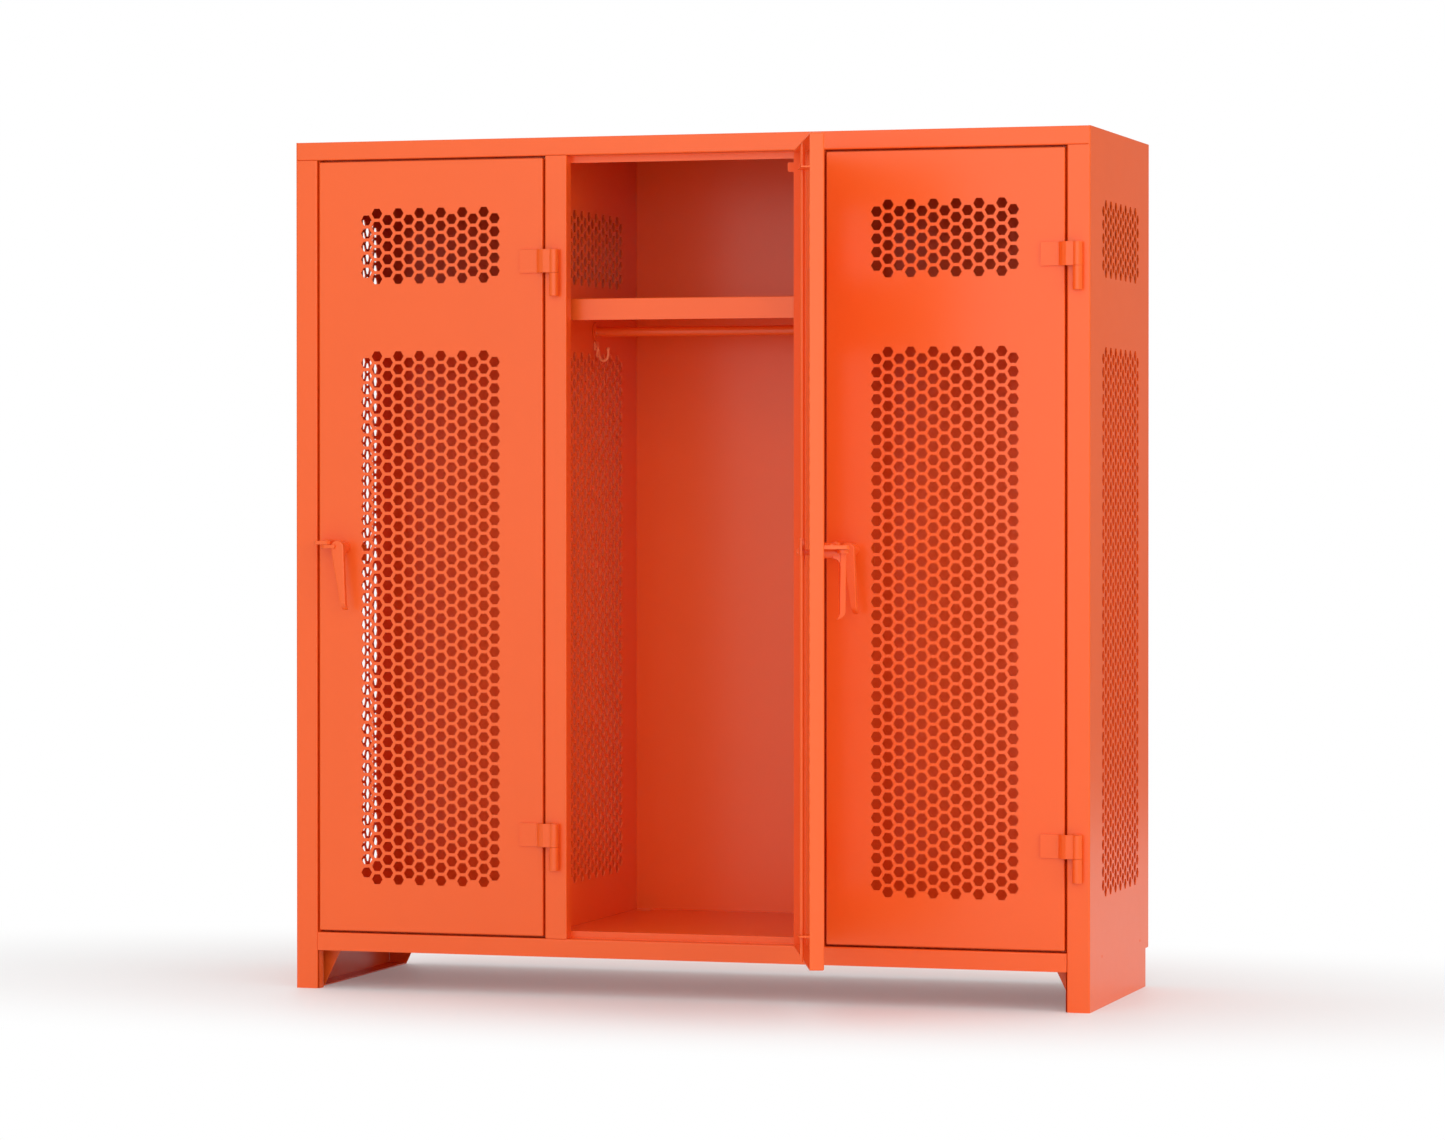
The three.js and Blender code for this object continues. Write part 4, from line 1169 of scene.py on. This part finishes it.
def add_camera():
    """The photo's view: from the front right, with the horizon near the middle of the locker."""
    eye = bpy.data.cameras.new("camera")
    eye.lens, eye.sensor_width = CAMERA_LENS, 36.0
    eye.shift_x, eye.shift_y = CAMERA_SHIFT
    eye.clip_start, eye.clip_end = 0.1, 100.0
    camera = bpy.data.objects.new("camera", eye)
    camera.location = Vector(in_cabinet(CAMERA_PLACE))
    camera.rotation_euler = (math.radians(90 - CAMERA_TILT), 0, math.radians(CAMERA_TURN))
    bpy.context.scene.collection.objects.link(camera)
    bpy.context.scene.camera = camera
    bpy.context.scene.view_settings.view_transform = "Standard"


# Settings

class LockerPaint(bpy.types.PropertyGroup):
    """Colour and gloss of the powder coat."""
    coat_colour: bpy.props.FloatVectorProperty(
        name="Powder coat", description="Colour of every painted piece", subtype="COLOR",
        size=3, min=0, max=1, default=(0.93, 0.121, 0.013))
    # Paler copy of the coat for the hooks: painted light, standing in for the front light they catch.
    hook_colour: bpy.props.FloatVectorProperty(
        name="Hooks", description="Colour of the coat hooks, paler than the sheets", subtype="COLOR",
        size=3, min=0, max=1, default=(1.0, 0.28, 0.1))
    colour_spread: bpy.props.FloatProperty(
        name="Colour spread", description="How far the coat's colour varies", subtype="FACTOR",
        min=0, max=0.2, default=0.01)
    coat_roughness: bpy.props.FloatProperty(
        name="Roughness", description="Roughness of the coat", subtype="FACTOR",
        min=0.05, max=1, default=0.3)
    peel_height: bpy.props.FloatProperty(
        name="Peel height", description="Height of the coat's fine peel", unit="LENGTH",
        min=0, max=0.001, default=0.00006)


class LockerSheets(bpy.types.PropertyGroup):
    """Folds and vents of the sheets."""
    bend_radius: bpy.props.FloatProperty(
        name="Bend radius", description="Inner radius of every fold", unit="LENGTH",
        min=0.0003, max=0.005, default=0.0007)
    vent_pitch: bpy.props.FloatProperty(
        name="Vent pitch", description="Distance between vents in a column", unit="LENGTH",
        min=0.02, max=0.03, default=0.02933)
    vent_share: bpy.props.FloatProperty(
        name="Vent share", description="Height of a vent as a share of the pitch",
        subtype="FACTOR", min=0.3, max=0.9, default=0.76)


class LockerStage(bpy.types.PropertyGroup):
    """Floor, world and lamps."""
    floor_colour: bpy.props.FloatVectorProperty(
        name="Floor", description="Colour of the floor", subtype="COLOR",
        size=3, min=0, max=1, default=(0.915, 0.93, 0.93))
    floor_lift: bpy.props.FloatProperty(
        name="Floor lift", description="How far the floor turns white where it is seen",
        subtype="FACTOR", min=0, max=1, default=0.14)
    ambient: bpy.props.FloatProperty(
        name="Ambient", description="Strength of the white world on the locker",
        min=0, max=1, default=0.8)
    left_power: bpy.props.FloatProperty(
        name="Left lamp", description="Power of the lamp on the left", unit="POWER",
        min=0, max=1000, default=20)
    front_power: bpy.props.FloatProperty(
        name="Front lamp", description="Power of the lamp in front", unit="POWER",
        min=0, max=1000, default=95)
    right_power: bpy.props.FloatProperty(
        name="Right lamp", description="Power of the lamp on the right", unit="POWER",
        min=0, max=1000, default=90)
    card_shade: bpy.props.FloatProperty(
        name="Rear card", description="Grey of the card behind on the right", subtype="FACTOR",
        min=0, max=1, default=0.12)
    side_card_shade: bpy.props.FloatProperty(
        name="Side cards", description="Grey of the cards on the left and right", subtype="FACTOR",
        min=0, max=1, default=0.12)


# Operators

class PieceOperator:
    """What the locker's operators share."""
    bl_options = {"REGISTER", "UNDO"}

    @classmethod
    def poll(cls, context):
        return context.scene is not None


class LOCKER_OT_stage(PieceOperator, bpy.types.Operator):
    """Add the floor, the world, the lamps and the camera"""
    bl_idname = "locker.add_stage"
    bl_label = "Stage"

    def execute(self, context):
        make_stage()
        return {"FINISHED"}


class LOCKER_OT_vented_sides(PieceOperator, bpy.types.Operator):
    """Add the two vented side sheets with their stiles, the two dividers and the feet"""
    bl_idname = "locker.add_vented_sides"
    bl_label = "Vented sides, dividers and feet"

    def execute(self, context):
        for side in ("left", "right"):
            vented_side(side)
            vented_divider(side)
            foot(side)
        return {"FINISHED"}


class LOCKER_OT_doors(PieceOperator, bpy.types.Operator):
    """Add the three vented door pans"""
    bl_idname = "locker.add_doors"
    bl_label = "Door pans"

    def execute(self, context):
        for side in SIDES:
            vented_door(side)
            pry_tab(side)
        return {"FINISHED"}


class LOCKER_OT_folded_sheets(PieceOperator, bpy.types.Operator):
    """Add the top with its header, the front rail, the back, the middle stiles and the shelves"""
    bl_idname = "locker.add_folded_sheets"
    bl_label = "Top, rail, back, stiles and shelves"

    def execute(self, context):
        top_and_header()
        front_rail()
        back_sheet()
        for index, side in enumerate(("left", "right"), 1):
            middle_post(side, index)
        for index, side in enumerate(SIDES):
            shelf(side, index)
        return {"FINISHED"}


class LOCKER_OT_coat_fittings(PieceOperator, bpy.types.Operator):
    """Add a clothes rail and a wall hook in each compartment"""
    bl_idname = "locker.add_coat_fittings"
    bl_label = "Clothes rails and hooks"

    def execute(self, context):
        for index, side in enumerate(SIDES):
            coat_rail(side, index)
            coat_hook(side, index)
        return {"FINISHED"}


class LOCKER_OT_hinges(PieceOperator, bpy.types.Operator):
    """Add two hinges to each door"""
    bl_idname = "locker.add_hinges"
    bl_label = "Hinges"

    def execute(self, context):
        for side in SIDES:
            for level in HINGE_CENTRES:
                knuckle(side, level)
                strap(side, level)
        return {"FINISHED"}


class LOCKER_OT_latches(PieceOperator, bpy.types.Operator):
    """Add the padlock plate, the lever, the cam, the rods and their guides to each door"""
    bl_idname = "locker.add_latches"
    bl_label = "Latches"

    def execute(self, context):
        for side in SIDES:
            hasp(side)
            lever(side)
            cam(side)
            rod_guides(side)
            for level in ROD_LEVELS:
                latch_rod(side, level)
        return {"FINISHED"}


class LOCKER_OT_finish(PieceOperator, bpy.types.Operator):
    """Give the frame's own pieces the powder coat"""
    bl_idname = "locker.coat_frame"
    bl_label = "Coat the frame's pieces"

    def execute(self, context):
        for node in frame["nodes"].values():
            node.data.materials.clear()
            node.data.materials.append(powder_coat())
        return {"FINISHED"}


class LOCKER_PT_sidebar(bpy.types.Panel):
    """Lists the locker's settings and its operators"""
    bl_label = "Ventilated locker"
    bl_idname = "LOCKER_PT_sidebar"
    bl_space_type = "VIEW_3D"
    bl_region_type = "UI"
    bl_category = "Locker"

    def draw(self, context):
        for name in ("locker_paint", "locker_sheets", "locker_stage"):
            group = getattr(context.scene, name)
            box = self.layout.box()
            for key in group.bl_rna.properties.keys():
                if key not in ("rna_type", "name"):
                    box.prop(group, key)
        for operator in OPERATORS:
            self.layout.operator(operator.bl_idname)


OPERATORS = (
    LOCKER_OT_stage,
    LOCKER_OT_vented_sides,
    LOCKER_OT_doors,
    LOCKER_OT_folded_sheets,
    LOCKER_OT_coat_fittings,
    LOCKER_OT_hinges,
    LOCKER_OT_latches,
    LOCKER_OT_finish,
)
GROUPS = {"locker_paint": LockerPaint, "locker_sheets": LockerSheets, "locker_stage": LockerStage}


def register():
    for group in GROUPS.values():
        bpy.utils.register_class(group)
    for name, group in GROUPS.items():
        setattr(bpy.types.Scene, name, bpy.props.PointerProperty(type=group))
    for operator in OPERATORS:
        bpy.utils.register_class(operator)
    bpy.utils.register_class(LOCKER_PT_sidebar)


def unregister():
    bpy.utils.unregister_class(LOCKER_PT_sidebar)
    for operator in reversed(OPERATORS):
        bpy.utils.unregister_class(operator)
    for name, group in GROUPS.items():
        delattr(bpy.types.Scene, name)
        bpy.utils.unregister_class(group)


def main():
    register()
    for operator in OPERATORS:
        family, name = operator.bl_idname.split(".")
        getattr(getattr(bpy.ops, family), name)()


if __name__ == "__main__":
    main()
